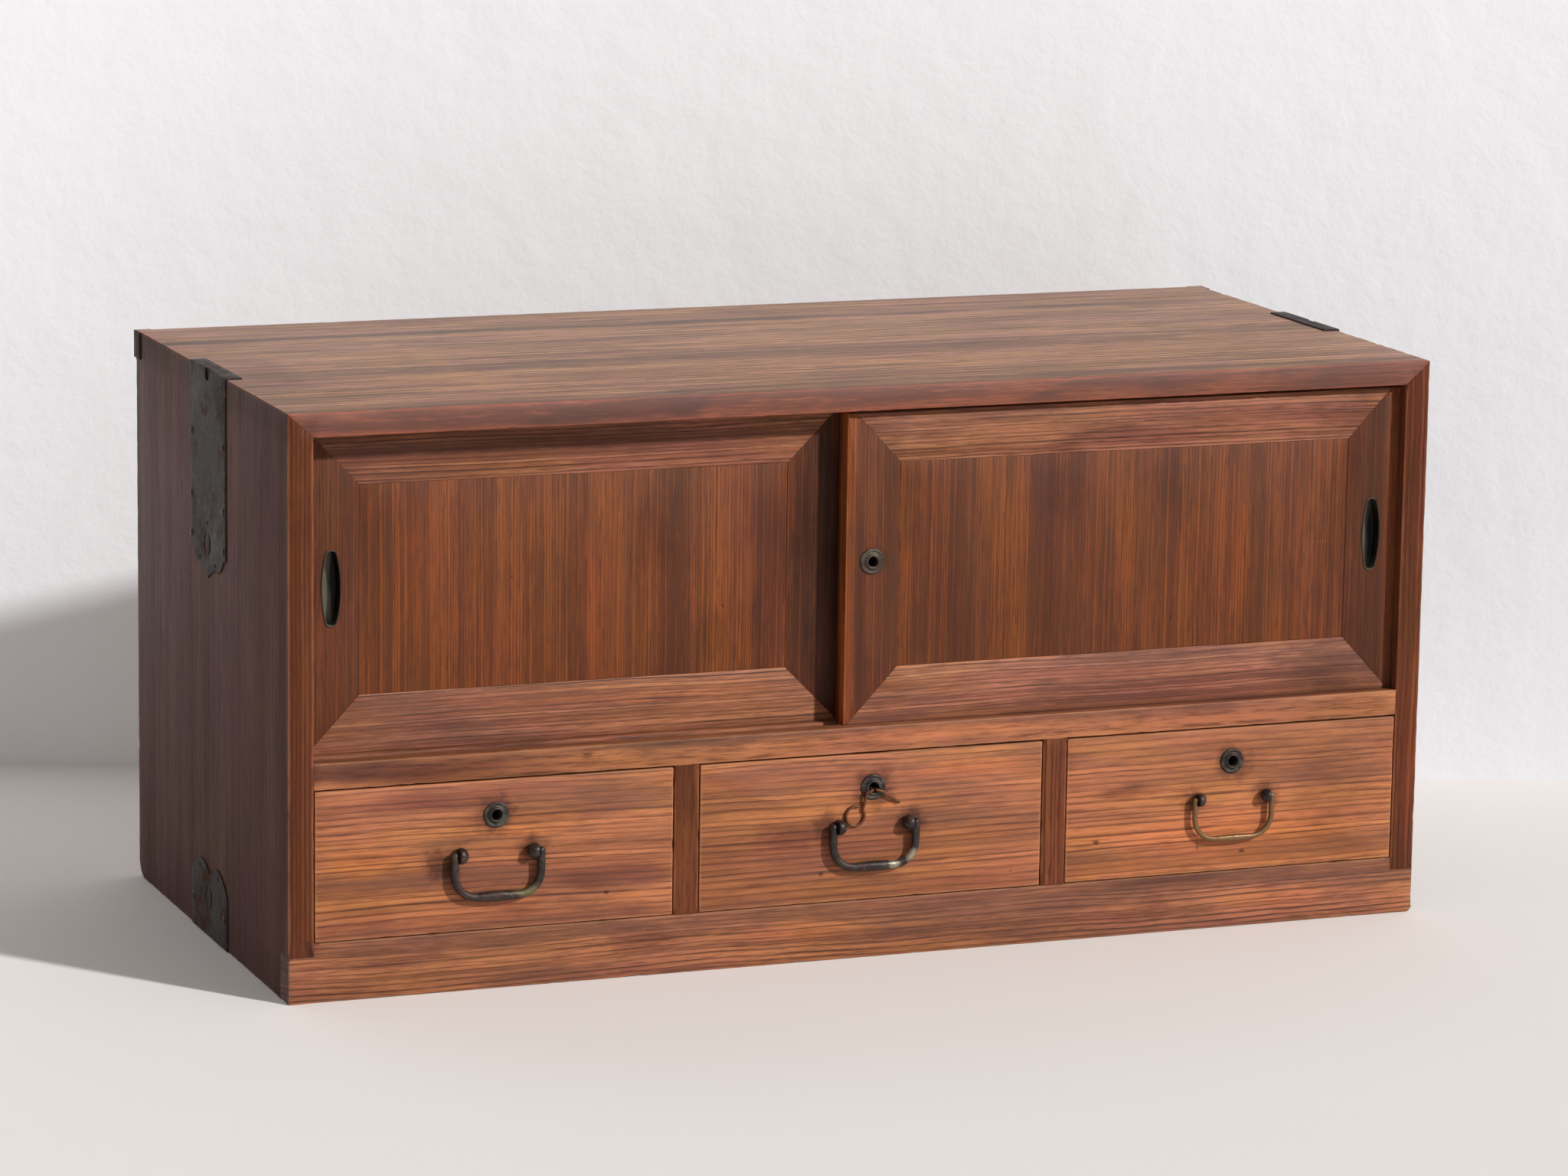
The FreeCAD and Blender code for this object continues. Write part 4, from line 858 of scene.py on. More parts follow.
def roughen(part, eased, uneven):
    """Makes the cut arrises wider and narrower along their length, with nicks.

    Points on an arris that hands can reach are stored as free."""
    free = part.verts.layers.float.new("free")
    if not eased:
        return
    tree = point_tree([(first + last) / 2 for first, last, _ in eased])
    ends = {}
    for first, last, _ in eased:
        way = (last - first).normalized()
        for place in (first, last):
            ends.setdefault(tuple(round(size, 6) for size in place), []).append(way)
    turns = [Vector(key) for key, ways in ends.items()
             if any(abs(way.dot(ways[0])) < 0.99 for way in ways[1:])]
    corner_tree = point_tree(turns)
    for vert in part.verts:
        best = None
        for _, index, _ in tree.find_n(vert.co, 6):
            first, last, width = eased[index]
            run = last - first
            along = max(0.0, min(1.0, (vert.co - first).dot(run) / run.length_squared))
            foot = first + run * along
            gap = (vert.co - foot).length
            if gap < width * 1.6 and (best is None or gap < best[0]):
                best = (gap, foot, width)
        if best is None:
            continue
        _, foot, width = best
        vert[free] = float(width > FREE_WIDTH)
        calm = 1.0
        if turns:
            calm = min(1.0, max(0.0, corner_tree.find(foot)[2] / CORNER_CALM - 0.4))
        wave = noise.noise(foot * 90) + 0.6 * noise.noise(foot * 320 + Vector((5, 3, 1)))
        nick = max(0.0, noise.noise(foot * 210 + Vector((9, 2, 7))) - 0.28) * 5.0
        grow = 1.0 + calm * uneven * (0.9 * wave + nick)
        vert.co = foot + (vert.co - foot) * max(0.3, min(2.8, grow))


def finish_faces(part):
    """Flat boards and soft arrises, in triangles."""
    big = [face for face in part.faces if len(face.verts) > 4]
    for face in part.faces:
        face.smooth = face.calc_area() < 2e-5
    bmesh.ops.triangulate(part, faces=big, quad_method="BEAUTY", ngon_method="BEAUTY")


def mark_board(mesh, low, high, grain, tone, seed):
    """Stores along-the-grain places and the ways to the board's faces on its points."""
    sizes = {key: (high - low).dot(axis) for key, axis in AXES.items() if key != grain}
    through = min(sizes, key=sizes.get)
    across = next(key for key in sizes if key != through)
    centre = (low + high) / 2
    chance = random.Random(seed)
    start = Vector((chance.uniform(0, 9), chance.uniform(-0.03, 0.03),
                    chance.uniform(-0.008, 0.008)))
    side = chance.choice((-1, 1))
    places = [vert.co.copy() for vert in mesh.vertices]
    grains = [start + Vector((away.dot(AXES[grain]), side * away.dot(AXES[across]),
                              away.dot(AXES[through])))
              for away in (place - centre for place in places)]
    for label, values in (("grain", grains), ("from_low", [place - low for place in places]),
                          ("from_high", [high - place for place in places])):
        layer = mesh.attributes.new(label, "FLOAT_VECTOR", "POINT")
        layer.data.foreach_set("vector", [size for value in values for size in value])
    layer = mesh.attributes.new("tone", "FLOAT", "POINT")
    layer.data.foreach_set("value", [tone] * len(places))


def settle(name, part, node, material):
    """Makes a piece from a finished mesh; it stands for its node and moves with its body."""
    piece = show(name, part)
    piece.data.set_sharp_from_angle(angle=math.radians(42))
    piece.data.materials.append(material)
    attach(piece, BODY_OF[node])
    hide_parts(node)
    return piece


def worn_copy(part, node, number, free_width, seam_width, step_times=1.0):
    """Copy of a solid with its arrises cut back and worn."""
    own = settings("arris")
    eased = ease(part, node, number, free_width, seam_width, own.step * step_times)
    shaped = bevelled(part)
    roughen(shaped, eased, own.nick)
    finish_faces(shaped)
    return shaped


def full_name(*words):
    """Name of a piece; empty words are left out."""
    return "_".join(filter(None, words))


def board(node, grain, material, kind="case", names=("",), tones=None, step_times=1.0):
    """Worn copies of a node's boards, each with its own stretch of grain."""
    own = settings("arris")
    parts = solids_of(node)
    if len(parts) != len(names):
        raise RuntimeError(node + " has " + str(len(parts)) + " boards")
    for number, (part, label) in enumerate(zip(parts, names)):
        low, high = corners(part)
        shaped = worn_copy(part, node, number, getattr(own, kind), own.seam, step_times)
        name = full_name(node, label, "wood")
        tone = tones[number] if tones else random.Random(name).uniform(-1, 1)
        piece = settle(name, shaped, node, material)
        mark_board(piece.data, low, high, grain, tone, name)


def sheet_iron(node, material, names=("",)):
    """Worn copies of a node's sheet irons."""
    width = settings("arris").iron
    for number, (part, label) in enumerate(zip(solids_of(node), names)):
        shaped = worn_copy(part, node, number, width, width * 0.5)
        settle(full_name(node, label, "iron"), shaped, node, material)


def skin(part, rings, closed_ends=True):
    """Joins rings of points into a surface; a ring of one point is a tip."""
    made = [[part.verts.new(place) for place in ring] for ring in rings]
    for first, second in zip(made, made[1:]):
        count = max(len(first), len(second))
        for index in range(count):
            following = (index + 1) % count
            loop = []
            for vert in (first[index % len(first)], first[following % len(first)],
                         second[following % len(second)], second[index % len(second)]):
                if vert not in loop:
                    loop.append(vert)
            part.faces.new(loop)
    if closed_ends:
        for ring in (made[0], made[-1]):
            if len(ring) > 2:
                part.faces.new(ring)
    return made


def turned(part, seat, axis, side, profile, steps, wobble=0.0, closed_ends=True):
    """Surface turned about an axis; the profile gives (radius, height) pairs."""
    other = axis.cross(side)
    rings = []
    for radius, height in profile:
        ring = []
        for step in range(steps if radius > 1e-7 else 1):
            angle = math.tau * step / steps
            way = side * math.cos(angle) + other * math.sin(angle)
            place = seat + axis * height + way * radius
            if wobble:
                place += way * wobble * noise.noise(place * 160)
            ring.append(place)
        rings.append(ring)
    return skin(part, rings, closed_ends)


def forged_bar(part, path, radii, across, sides, square, hammered):
    """Hammered bar swept along a flat path; across is square to the path's plane."""
    power = 2 / (2 + square)
    rings = []
    for before, place, after, radius in zip(path[:1] + path, path, path[1:] + path[-1:],
                                            radii):
        way = (after - before).normalized()
        inward = way.cross(across)
        ring = []
        for step in range(sides):
            angle = math.tau * step / sides
            c, s = math.cos(angle), math.sin(angle)
            u = math.copysign(abs(c) ** power, c)
            v = math.copysign(abs(s) ** power, s)
            spot = place + (across * u + inward * v) * radius
            dent = noise.noise(spot * 230) * 0.7 + noise.noise(spot * 560) * 0.3
            ring.append(spot + (spot - place) * hammered * dent)
        rings.append(ring)
    return skin(part, rings)


def close_up(part):
    """Turns all faces outward and shades them smooth."""
    bmesh.ops.recalc_face_normals(part, faces=part.faces)
    for face in part.faces:
        face.smooth = True


DRAWERS = ("left", "middle", "right")


def bay(name):
    """Middle and front face of one drawer."""
    low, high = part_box(name + "_drawer_front")
    return (low.x + high.x) / 2, low.y


def centre_and_half(node):
    """Middle and half sizes of a node's box."""
    low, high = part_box(node)
    return (low + high) / 2, (high - low) / 2


class CabinetStep:
    """What every step of the making has in common."""
    bl_options = {"REGISTER", "UNDO"}


# Colour of the fill light, the side that the main light comes from, and the wall's line.
FILL_COLOUR = (1.0, 0.985, 0.97)
SUN_SIDE = Vector((0.8, -1.0, 0.73))
WALL_WAY = Vector((1.0, -0.371, 0.0))
WALL_FOOT = Vector((0.0, 0.4566, -0.01))
WALL_WIDTH = 4.8


class CABINET_OT_stage(CabinetStep, bpy.types.Operator):
    """Floor, backdrop, lamps and the camera at the photograph's angle"""
    bl_idname = "cabinet.stage"
    bl_label = "Stage"

    def execute(self, context):
        own = settings("stage")
        scene = context.scene
        scene.view_settings.view_transform = "Standard"
        forward = Vector((math.sin(own.azimuth) * math.cos(own.elevation),
                          math.cos(own.azimuth) * math.cos(own.elevation),
                          -math.sin(own.elevation)))
        right = Vector((math.cos(own.azimuth), -math.sin(own.azimuth), 0))
        up = right.cross(forward)
        tilted_right = right * math.cos(own.roll) + up * math.sin(own.roll)
        tilted_up = up * math.cos(own.roll) - right * math.sin(own.roll)
        camera = add_object("camera", bpy.data.cameras.new("camera"))
        camera.data.lens = own.lens
        camera.data.sensor_width = 36.0
        camera.data.clip_end = 60.0
        turn = Matrix((tilted_right, tilted_up, -forward)).transposed().to_4x4()
        camera.matrix_world = Matrix.Translation(own.place) @ turn
        scene.camera = camera

        sun = add_object("main_light", bpy.data.lights.new("main_light", "SUN"))
        sun.data.energy = own.lamp
        sun.data.angle = own.lamp_size
        sun.rotation_euler = SUN_SIDE.to_track_quat("Z", "Y").to_euler()

        world = bpy.data.worlds.new("fill_light")
        scene.world = world
        world.use_nodes = True
        world.node_tree.nodes.clear()
        bench = Bench(world.node_tree)
        lighting, seen = (bench.lay("Background", colour, strength)[0]
                          for colour, strength in ((FILL_COLOUR, own.sky), (own.wall, 1.0)))
        camera_ray = bench.add("LightPath").outputs["Is Camera Ray"]
        bench.fill("OutputWorld", Surface=bench.either(camera_ray, lighting, seen))

        floor = bmesh.new()
        bmesh.ops.create_grid(floor, x_segments=8, y_segments=8, size=6.0)
        self.stand("floor", floor, own.floor, False)
        wall = bmesh.new()
        way = WALL_WAY.normalized()
        count = 12
        rows = [[wall.verts.new(WALL_FOOT + way * (reach * WALL_WIDTH / count - WALL_WIDTH / 2)
                                + Vector((0, 0, height)))
                 for reach in range(count + 1)] for height in (0.0, 0.9, 1.8)]
        for lower, upper in zip(rows, rows[1:]):
            for index in range(count):
                wall.faces.new((lower[index], lower[index + 1], upper[index + 1],
                                upper[index]))
        self.stand("wall", wall, own.wall, True)
        return {"FINISHED"}

    def stand(self, name, part, colour, one_way):
        """Puts up a floor or a wall; a one-way wall is clear from behind."""
        thing = show(name, part)
        thing.visible_shadow = not one_way
        material, bench, shader = open_material(name)
        place = bench.add("TexCoord").outputs["Object"]
        mottle = bench.rise(bench.noise(place, 2.5, 2.5, 3.0), 0.2, 0.8, 0.0, 0.06)
        side, _, height = bench.parts(place)
        # Painted shade: the floor and wall are painted darker toward the right; the mottle is
        # their own.
        shade = bench.plus(mottle, bench.rise(side, 0.1, 1.3, 0.0, 0.8))
        painted_shade_colour = [level * 0.85 for level in colour]
        bench.fill(shader, Base_Color=bench.mix(shade, colour, painted_shade_colour), Roughness=0.85,
                   Specular_IOR_Level=0.2)
        if one_way:
            relief = bench.noise(place, 14, 14, 5.0, 0.6)
            path = bench.add("LightPath").outputs
            # Painted light: the wall glows for the camera, more toward the top, and glows in
            # reflections only, which brightens the sheen it gives the cabinet.
            seen = bench.times(path["Is Camera Ray"], bench.rise(height, 0.1, 0.8, 0.02, 0.14))
            mirrored = bench.times(path["Is Glossy Ray"], 0.2)
            bench.fill(shader, Normal=bench.bump(relief, 0.006, 0.35), Emission_Color=colour,
                       Emission_Strength=bench.plus(seen, mirrored))
            surface = shader.outputs[0].links[0].to_socket
            behind = bench.add("NewGeometry").outputs["Backfacing"]
            clear = bench.add("BsdfTransparent").outputs[0]
            bench.feed(surface, bench.either(behind, shader.outputs[0], clear))
        thing.data.materials.append(material)


class CABINET_OT_case(CabinetStep, bpy.types.Operator):
    """Sides, top, rails and dividers of the case"""
    bl_idname = "cabinet.case"
    bl_label = "Case"

    def execute(self, context):
        patch = wood("case", wear_width=0.0003, label="_patch")
        for node, grain, material, tone in (
                ("left_side", "Z", wood("case"), -0.4),
                ("right_side", "Z", wood("case"), -0.4),
                ("foot_patch", "Z", patch, -1.0),
                ("top_board", "X", wood("top"), 0.0),
                ("middle_rail", "X", wood("rail"), 0.3),
                ("base_rail", "X", wood("rail"), -0.2),
                ("left_divider", "Z", wood("case"), -0.9),
                ("right_divider", "Z", wood("case"), 1.2)):
            board(node, grain, material, tones=(tone,))
        return {"FINISHED"}


class CABINET_OT_inside(CabinetStep, bpy.types.Operator):
    """Bottom, cupboard floor, rear rail and back boards"""
    bl_idname = "cabinet.inside"
    bl_label = "Inside of the case"

    def execute(self, context):
        for node, names, step_times in (
                ("bottom_board", ("",), 4), ("shelf_board", ("",), 4),
                ("rear_rail", ("",), 3), ("back_boards", ("lower", "middle", "upper"), 3)):
            board(node, "X", wood("inner"), names=names, step_times=step_times)
        return {"FINISHED"}


class CABINET_OT_doors(CabinetStep, bpy.types.Operator):
    """Stiles, rails and panels of both sliding doors"""
    bl_idname = "cabinet.doors"
    bl_label = "Sliding doors"

    def execute(self, context):
        for door in ("rear", "front"):
            board(door + "_door_stiles", "Z", wood("door_stile"), "front",
                  ("left", "right"), (0.2, -0.2))
            board(door + "_door_rails", "X", wood("door_rail"), "front",
                  ("bottom", "top"), (0.7, -0.5))
            board(door + "_door_panel", "Z", wood("panel"), "front",
                  tones=(0.3 if door == "rear" else -0.3,))
        return {"FINISHED"}


class CABINET_OT_drawers(CabinetStep, bpy.types.Operator):
    """Fronts, sides, backs and bottoms of the drawers"""
    bl_idname = "cabinet.drawers"
    bl_label = "Drawers"

    def execute(self, context):
        plain = wood("inner")
        for name, tone in zip(DRAWERS, (-0.3, 0.1, 0.5)):
            board(name + "_drawer_front", "X", wood("drawer", label="_" + name), "front",
                  tones=(tone,))
            board(name + "_drawer_sides", "Y", plain, "front", ("left", "right"),
                  step_times=3)
            board(name + "_drawer_back", "X", plain, "front", step_times=3)
            board(name + "_drawer_bottom", "Y", plain, "front", step_times=4)
        return {"FINISHED"}


class CABINET_OT_side_irons(CabinetStep, bpy.types.Operator):
    """Carrying irons, foot irons, corner irons and pole loops"""
    bl_idname = "cabinet.side_irons"
    bl_label = "Side irons"

    def execute(self, context):
        plate = iron("side_plate_iron", 0.12, 0.3, "plate", shine=0.06)
        for side in ("left", "right"):
            sheet_iron(side + "_pole_plate", plate)
            sheet_iron(side + "_foot_plate", iron("foot_plate_iron", 0.1, 0.7, shine=0.2))
            sheet_iron(side + "_pole_loop", plate)
        sheet_iron("corner_irons", plate, ("left", "right"))
        return {"FINISHED"}


class CABINET_OT_nails(CabinetStep, bpy.types.Operator):
    """Dome-headed nails of the side irons"""
    bl_idname = "cabinet.nails"
    bl_label = "Nails"

    def execute(self, context):
        part = bmesh.new()
        chance = random.Random("nails")
        for solid in solids_of("side_nails"):
            low, high = corners(solid)
            solid.free()
            outward = AXES["X"] if low.x > 0 else -AXES["X"]
            tip = max(abs(low.x), abs(high.x))
            radius = (high.z - low.z) / 2
            rise = 0.0015
            seat = Vector((outward.x * (tip - rise), (low.y + high.y) / 2,
                           (low.z + high.z) / 2))
            flat = chance.uniform(0.82, 0.98)
            profile = [(0.0011, -0.010), (radius * 0.55, -0.0002), (radius * 0.97, 0)]
            for step in range(1, 6):
                turn = math.pi / 2 * step / 5
                profile.append((radius * 0.97 * math.cos(turn),
                                rise * flat * math.sin(turn)))
            turned(part, seat, outward, AXES["Z"], profile, 16, 0.0004)
        close_up(part)
        settle("side_nail_heads", part, "side_nails", iron("nail_iron", 0.3, 0.5))
        return {"FINISHED"}


def oval(half_width, half_length, end_radius, steps):
    """Points of a long oval made of four arcs, as (across, along) pairs."""
    rise = half_length - end_radius
    side_radius = (half_width ** 2 + rise ** 2 - end_radius ** 2) / (
        2 * (half_width - end_radius))
    turn = math.atan2(rise, side_radius - half_width)
    quarter = []
    for step in range(steps):
        angle = turn * step / steps
        quarter.append((half_width - side_radius + side_radius * math.cos(angle),
                        side_radius * math.sin(angle)))
    for step in range(steps):
        angle = turn + (math.pi / 2 - turn) * step / steps
        quarter.append((end_radius * math.cos(angle), rise + end_radius * math.sin(angle)))
    upper = quarter + [(0, half_length)] + [(-x, z) for x, z in reversed(quarter[1:])]
    lower = [(-x, -z) for x, z in upper]
    return upper + lower


class CABINET_OT_pulls(CabinetStep, bpy.types.Operator):
    """Long oval finger pulls of the doors"""
    bl_idname = "cabinet.pulls"
    bl_label = "Finger pulls"

    def execute(self, context):
        marks = []
        # Painted shadow: a near-black patch over the right part of each pull's hollow, where
        # the rim's shade falls.
        for door in ("rear", "front"):
            centre, half = centre_and_half(door + "_door_pull")
            marks.append((centre + AXES["X"] * half.x * 0.66,
                          (half.x * 0.95, 0.1, half.z * 1.5), paint(14, 12, 12), 1.0))
        metal = iron("pull_iron", 0.25, 0.15, "pull", marks, 0.5)
        for door in ("rear", "front"):
            node = door + "_door_pull"
            centre, half = centre_and_half(node)
            face = (centre - half).y + MM
            deep = (centre + half).y - face
            # Each row is (draw-in from the outline, depth from the door's face).
            rows = ((0.0004, 0.0), (0.0, -0.0002), (0.0001, -0.0006), (0.0004, -0.00095),
                    (0.0008, -0.0009), (0.0011, -0.0004), (0.0012, 0.0005),
                    (0.0013, deep - 0.0016), (0.0017, deep - 0.0011),
                    (0.0026, deep - 0.0009), (0.0045, deep - 0.00085))
            part = bmesh.new()
            rings = []
            for inset, sink in rows:
                points = oval(half.x - inset, half.z - inset, max(0.0003, 0.0045 - inset * 0.8),
                              9)
                ring = []
                for x, z in points:
                    place = Vector((centre.x + x, face + sink, centre.z + z))
                    shift = noise.noise(place * 120) * 0.00025
                    ring.append(place + Vector((shift * 0.4, shift * 0.3, 0)))
                rings.append(ring)
            part.faces.new(skin(part, rings, closed_ends=False)[-1])
            close_up(part)
            settle(node + "_iron", part, node, metal)
        return {"FINISHED"}


# How far a key plate stands out of the wood, and the depth behind a drawer's face beyond
# which a post has only its clenched ends.
PLATE_PROUD = 0.0026
CLENCH_DEPTH = 0.0175


class CABINET_OT_key_plates(CabinetStep, bpy.types.Operator):
    """Round key plates of the drawers and the front door"""
    bl_idname = "cabinet.key_plates"
    bl_label = "Key plates"

    def execute(self, context):
        place, _ = centre_and_half("front_door_key_plate")
        rubbed = (place, (0.02, 0.02, 0.02), paint(104, 88, 74), 0.4)
        metal = iron("key_plate_iron", 0.45, 0.3, marks=[rubbed])
        for node in [name + "_key_plate" for name in DRAWERS] + ["front_door_key_plate"]:
            low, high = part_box(node)
            centre = (low + high) / 2
            radius = (high.z - low.z) / 2
            seat = Vector((centre.x, low.y + PLATE_PROUD, centre.z))
            profile = [(0.0039, -0.0038), (0.0039, 0.0016), (0.0041, 0.0022),
                       (0.0046, 0.0025), (0.0052, 0.0024), (0.0057, 0.0019),
                       (0.0062, 0.0012), (0.0068, 0.00085), (0.0075, 0.0009),
                       (0.0083, 0.00125), (0.009, 0.0013), (radius - 0.0005, 0.0010),
                       (radius - 0.00015, 0.0006), (radius - 0.0001, 0.0)]
            part = bmesh.new()
            turned(part, seat, -AXES["Y"], AXES["X"], profile, 56, 0.00022,
                   closed_ends=False)
            close_up(part)
            settle(node + "_iron", part, node, metal)
        return {"FINISHED"}


class CABINET_OT_locks(CabinetStep, bpy.types.Operator):
    """Box locks and their bolts, which keep their solids"""
    bl_idname = "cabinet.locks"
    bl_label = "Locks"

    def execute(self, context):
        metal = iron("lock_iron", 0.2, 0.5)
        nodes = [name + part for name in DRAWERS for part in ("_lock_case", "_lock_bolt")]
        for node in nodes + ["front_door_lock"]:
            NODES[node].data.materials.clear()
            NODES[node].data.materials.append(metal)
        return {"FINISHED"}


class CABINET_OT_handles(CabinetStep, bpy.types.Operator):
    """Ball-headed posts and the bails that hang from them"""
    bl_idname = "cabinet.handles"
    bl_label = "Drop handles"

    def execute(self, context):
        for name in DRAWERS:
            heavy = name != "right"
            crusted, rusted, base = (0.2, 0.4, "iron") if heavy else (0.05, 0.15, "worn")
            self.posts(name, heavy, iron(name + "_post_iron", 0.2, 0.35))
            self.bail(name, heavy, iron(name + "_bail_iron", crusted, rusted, base,
                                        self.crust(name)))
        return {"FINISHED"}

    def crust(self, name):
        """Pale crust on the right of a heavy bail's bar."""
        x, face = bay(name)
        pale = {"left": ((22, 74, 15, 8, (112, 106, 72), 0.75),),
                "middle": ((15, 72, 6, 6, (150, 142, 120), 0.9),
                           (29, 79, 8, 7, (160, 150, 128), 0.9)),
                "right": ()}[name]
        return [((x + across * MM, face - 0.005, up * MM), (wide * MM, 0.02, high * MM),
                 paint(*shade), strength)
                for across, up, wide, high, shade, strength in pale]

    def posts(self, name, heavy, metal):
        """Both posts of a drawer, flat on the cheek where the bail's leg passes."""
        own = settings("handle")
        x, face = bay(name)
        low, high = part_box(name + "_posts")
        ball = own.heavy_ball if heavy else own.light_ball
        z = (low.z + high.z) / 2
        stand = face - low.y - ball
        cheek = 0.0015
        spread = (high.x - low.x) / 2 - cheek
        part = bmesh.new()
        for outward in (-1, 1):
            seat = Vector((x + outward * spread, face, z))
            profile = [(own.neck * 1.25, -0.0002), (own.neck * 1.25, 0.0004),
                       (own.neck * 0.98, 0.0012), (own.neck * 0.95, stand - ball * 0.86)]
            for step in range(1, 13):
                angle = math.radians(-52 + 142 * step / 12)
                profile.append((ball * math.cos(angle) if step < 12 else 0.0,
                                stand + ball * math.sin(angle)))
            rings = turned(part, seat, -AXES["Y"], AXES["X"], profile, 30, 0.0004)
            for ring in rings:
                for vert in ring:
                    past = outward * (vert.co.x - seat.x) - cheek
                    if past > 0:
                        vert.co.x -= outward * past
        for solid in solids_of(name + "_posts"):
            low, high = extent([vert.co for vert in solid.verts
                                if vert.co.y > face + CLENCH_DEPTH])
            solid.free()
            self.clench(part, low, high)
        close_up(part)
        settle(name + "_posts_iron", part, name + "_posts", metal)

    def clench(self, part, low, high):
        """Split end of a post's shank, hammered flat behind the drawer front."""
        rings = []
        steps = 10
        for step in range(steps + 1):
            along = step / steps
            thin = 0.35 + 0.65 * math.sin(math.pi * along) ** 0.5
            z = low.z + (high.z - low.z) * along
            x = (low.x + high.x) / 2
            half = (high.x - low.x) / 2 * thin
            deep = (high.y - low.y) * thin
            rings.append([Vector((x + half * aside, low.y + back, z)) for aside, back in
                          ((-1, 0), (-0.7, deep), (0.7, deep), (1, 0))])
        skin(part, rings)

    def bail(self, name, heavy, metal):
        """One drop handle with its pins."""
        own = settings("handle")
        x, _ = bay(name)
        post_low, post_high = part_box(name + "_posts")
        low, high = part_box(name + "_bail")
        ball = own.heavy_ball if heavy else own.light_ball
        leg = own.heavy_leg if heavy else own.light_leg
        swell = (high.y - low.y) / 2
        hinge = Vector((x, post_low.y + ball, (post_low.z + post_high.z) / 2))
        offset = (high.x - low.x) / 2 - leg
        bar = low.z + swell
        bend = own.bend
        half = []
        for lift, size in ((0.98, 0.25), (0.9, 0.52), (0.7, 0.78), (0.4, 0.95), (0.0, 1.02)):
            half.append((offset, hinge.z + leg * lift, leg * size))
        for step in range(1, 8):
            half.append((offset, hinge.z + (bar + bend - hinge.z) * step / 8,
                         leg * (1.02 + 0.04 * math.sin(math.pi * step / 8))))
        for step in range(11):
            turn = math.pi / 2 * step / 10
            half.append((offset - bend + bend * math.cos(turn),
                         bar + bend - bend * math.sin(turn), leg * (1.0 + 0.05 * step / 10)))
        for step in range(1, 15):
            along = step / 14
            swollen = leg * 1.05 + (swell - leg * 1.05) * math.sin(math.pi / 2 * along) ** 0.8
            half.append(((offset - bend) * (1 - along), bar, swollen))
        stations = half + [(-a, z, r) for a, z, r in reversed(half[:-1])]
        path = [Vector((x + a, hinge.y, z)) for a, z, r in stations]
        part = bmesh.new()
        forged_bar(part, path, [r * 0.985 for a, z, r in stations], AXES["Y"], 20,
                   square=0.35, hammered=0.05 if heavy else 0.03)
        into_ball = 0.0044
        inner = offset - (post_high.x - post_low.x) / 2 + into_ball
        pin = 0.0015
        for outward in (-1, 1):
            seat = hinge + AXES["X"] * outward * offset
            turned(part, seat, -AXES["X"] * outward, AXES["Z"],
                   [(0.0, -leg * 0.5), (pin, -leg * 0.5), (pin, inner), (0.0, inner)], 14)
        close_up(part)
        settle(name + "_bail_iron", part, name + "_bail", metal)


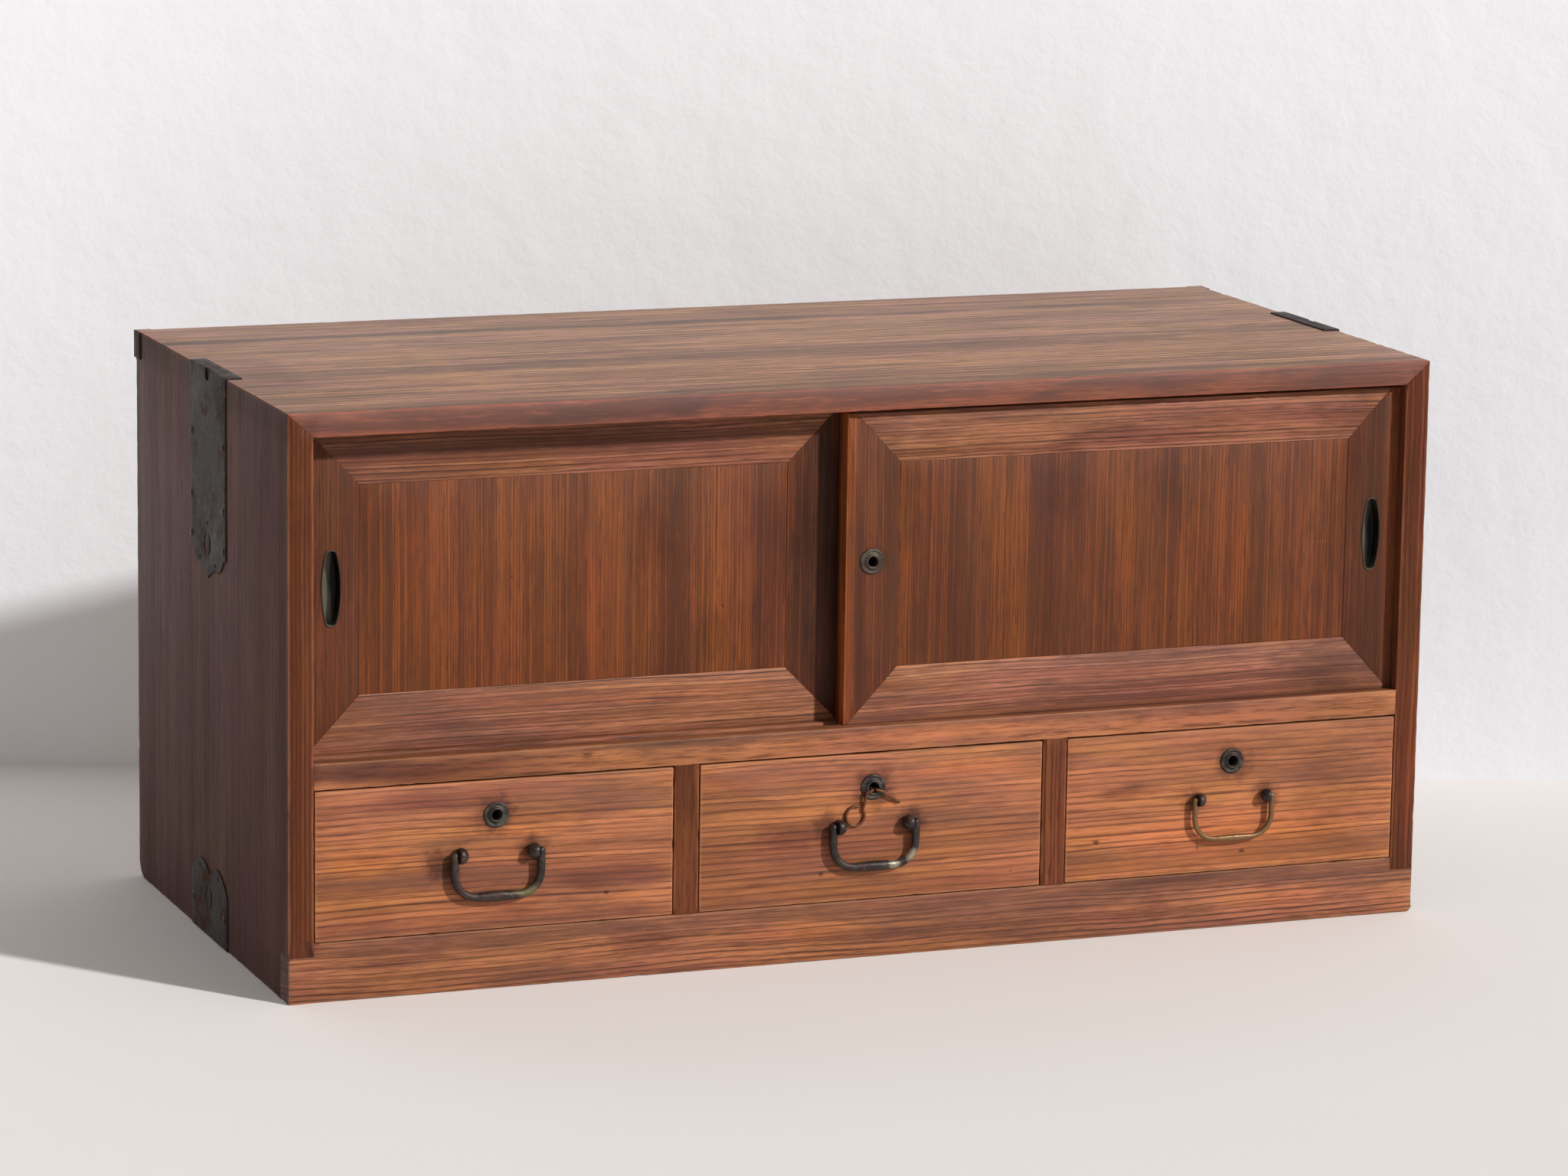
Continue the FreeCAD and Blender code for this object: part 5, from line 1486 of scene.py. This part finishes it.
class CABINET_OT_wire(CabinetStep, bpy.types.Operator):
    """Bent wire hooked through the middle keyhole"""
    bl_idname = "cabinet.wire"
    bl_label = "Bent wire"

    def execute(self, context):
        x, face = bay("middle")
        low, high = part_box("middle_key_plate")
        key_z = (low.z + high.z) / 2
        radius = 0.0011
        flat = face - radius - 0.0003
        over = face - PLATE_PROUD - radius - 0.0003
        hook_z = key_z - 0.0016
        ring = 0.0074
        hook = 0.0017
        path = []
        for step in range(31):
            turn = math.radians(66 + 331 * step / 30)
            path.append(Vector((x - 0.0146 + ring * math.cos(turn), flat,
                                key_z - 0.021 + ring * math.sin(turn))))
        path += [Vector((x - 0.006, over, hook_z - radius)),
                 Vector((x - hook, over, hook_z))]
        for step in range(9):
            turn = math.pi * step / 8
            path.append(Vector((x - hook * math.cos(turn),
                                face + 0.0015 + hook * math.sin(turn), hook_z)))
        path += [Vector((x + hook, over, hook_z)),
                 Vector((x + 0.006, over, hook_z - radius)),
                 Vector((x + 0.021, flat, key_z - 0.013))]
        part = bmesh.new()
        rings = []
        side = AXES["Y"]
        for before, place, after in zip(path[:1] + path, path, path[1:] + path[-1:]):
            way = (after - before).normalized()
            side = (side - way * side.dot(way)).normalized()
            other = way.cross(side)
            thick = radius * (1 + 0.12 * noise.noise(place * 500))
            rings.append([place + (side * math.cos(math.tau * step / 12)
                                   + other * math.sin(math.tau * step / 12)) * thick
                          for step in range(12)])
        skin(part, rings)
        close_up(part)
        settle("wire_loop_bent", part, "wire_loop",
               iron("rusty_wire_iron", 0.1, 0.5, base="wire"))
        return {"FINISHED"}


STEPS = (CABINET_OT_stage, CABINET_OT_case, CABINET_OT_inside, CABINET_OT_doors,
         CABINET_OT_drawers, CABINET_OT_side_irons, CABINET_OT_nails, CABINET_OT_pulls,
         CABINET_OT_key_plates, CABINET_OT_locks, CABINET_OT_handles, CABINET_OT_wire)


class CABINET_PT_panel(bpy.types.Panel):
    """Lists the steps of the making"""
    bl_idname = "CABINET_PT_panel"
    bl_label = "Low Cabinet"
    bl_space_type = "VIEW_3D"
    bl_region_type = "UI"
    bl_category = "Cabinet"

    def draw(self, context):
        for step in STEPS:
            self.layout.operator(step.bl_idname)
        own = context.scene.low_cabinet
        for key in own.bl_rna.properties.keys():
            if key not in ("rna_type", "name"):
                box = self.layout.box()
                box.label(text=own.bl_rna.properties[key].name)
                group = getattr(own, key)
                for name in group.bl_rna.properties.keys():
                    if name not in ("rna_type", "name"):
                        box.prop(group, name)


CLASSES = (*WOOD_GROUPS.values(), CABINET_PG_iron, CABINET_PG_arris, CABINET_PG_handle,
           CABINET_PG_stage, CABINET_PG_all, *STEPS, CABINET_PT_panel)


def register():
    for kind in CLASSES:
        bpy.utils.register_class(kind)
    bpy.types.Scene.low_cabinet = PointerProperty(type=CABINET_PG_all)


def unregister():
    del bpy.types.Scene.low_cabinet
    for kind in reversed(CLASSES):
        bpy.utils.unregister_class(kind)


def main():
    """Makes the whole cabinet and writes both boxes."""
    register()
    for step in STEPS:
        group, name = step.bl_idname.split(".")
        getattr(getattr(bpy.ops, group), name)()


if __name__ == "__main__":
    main()
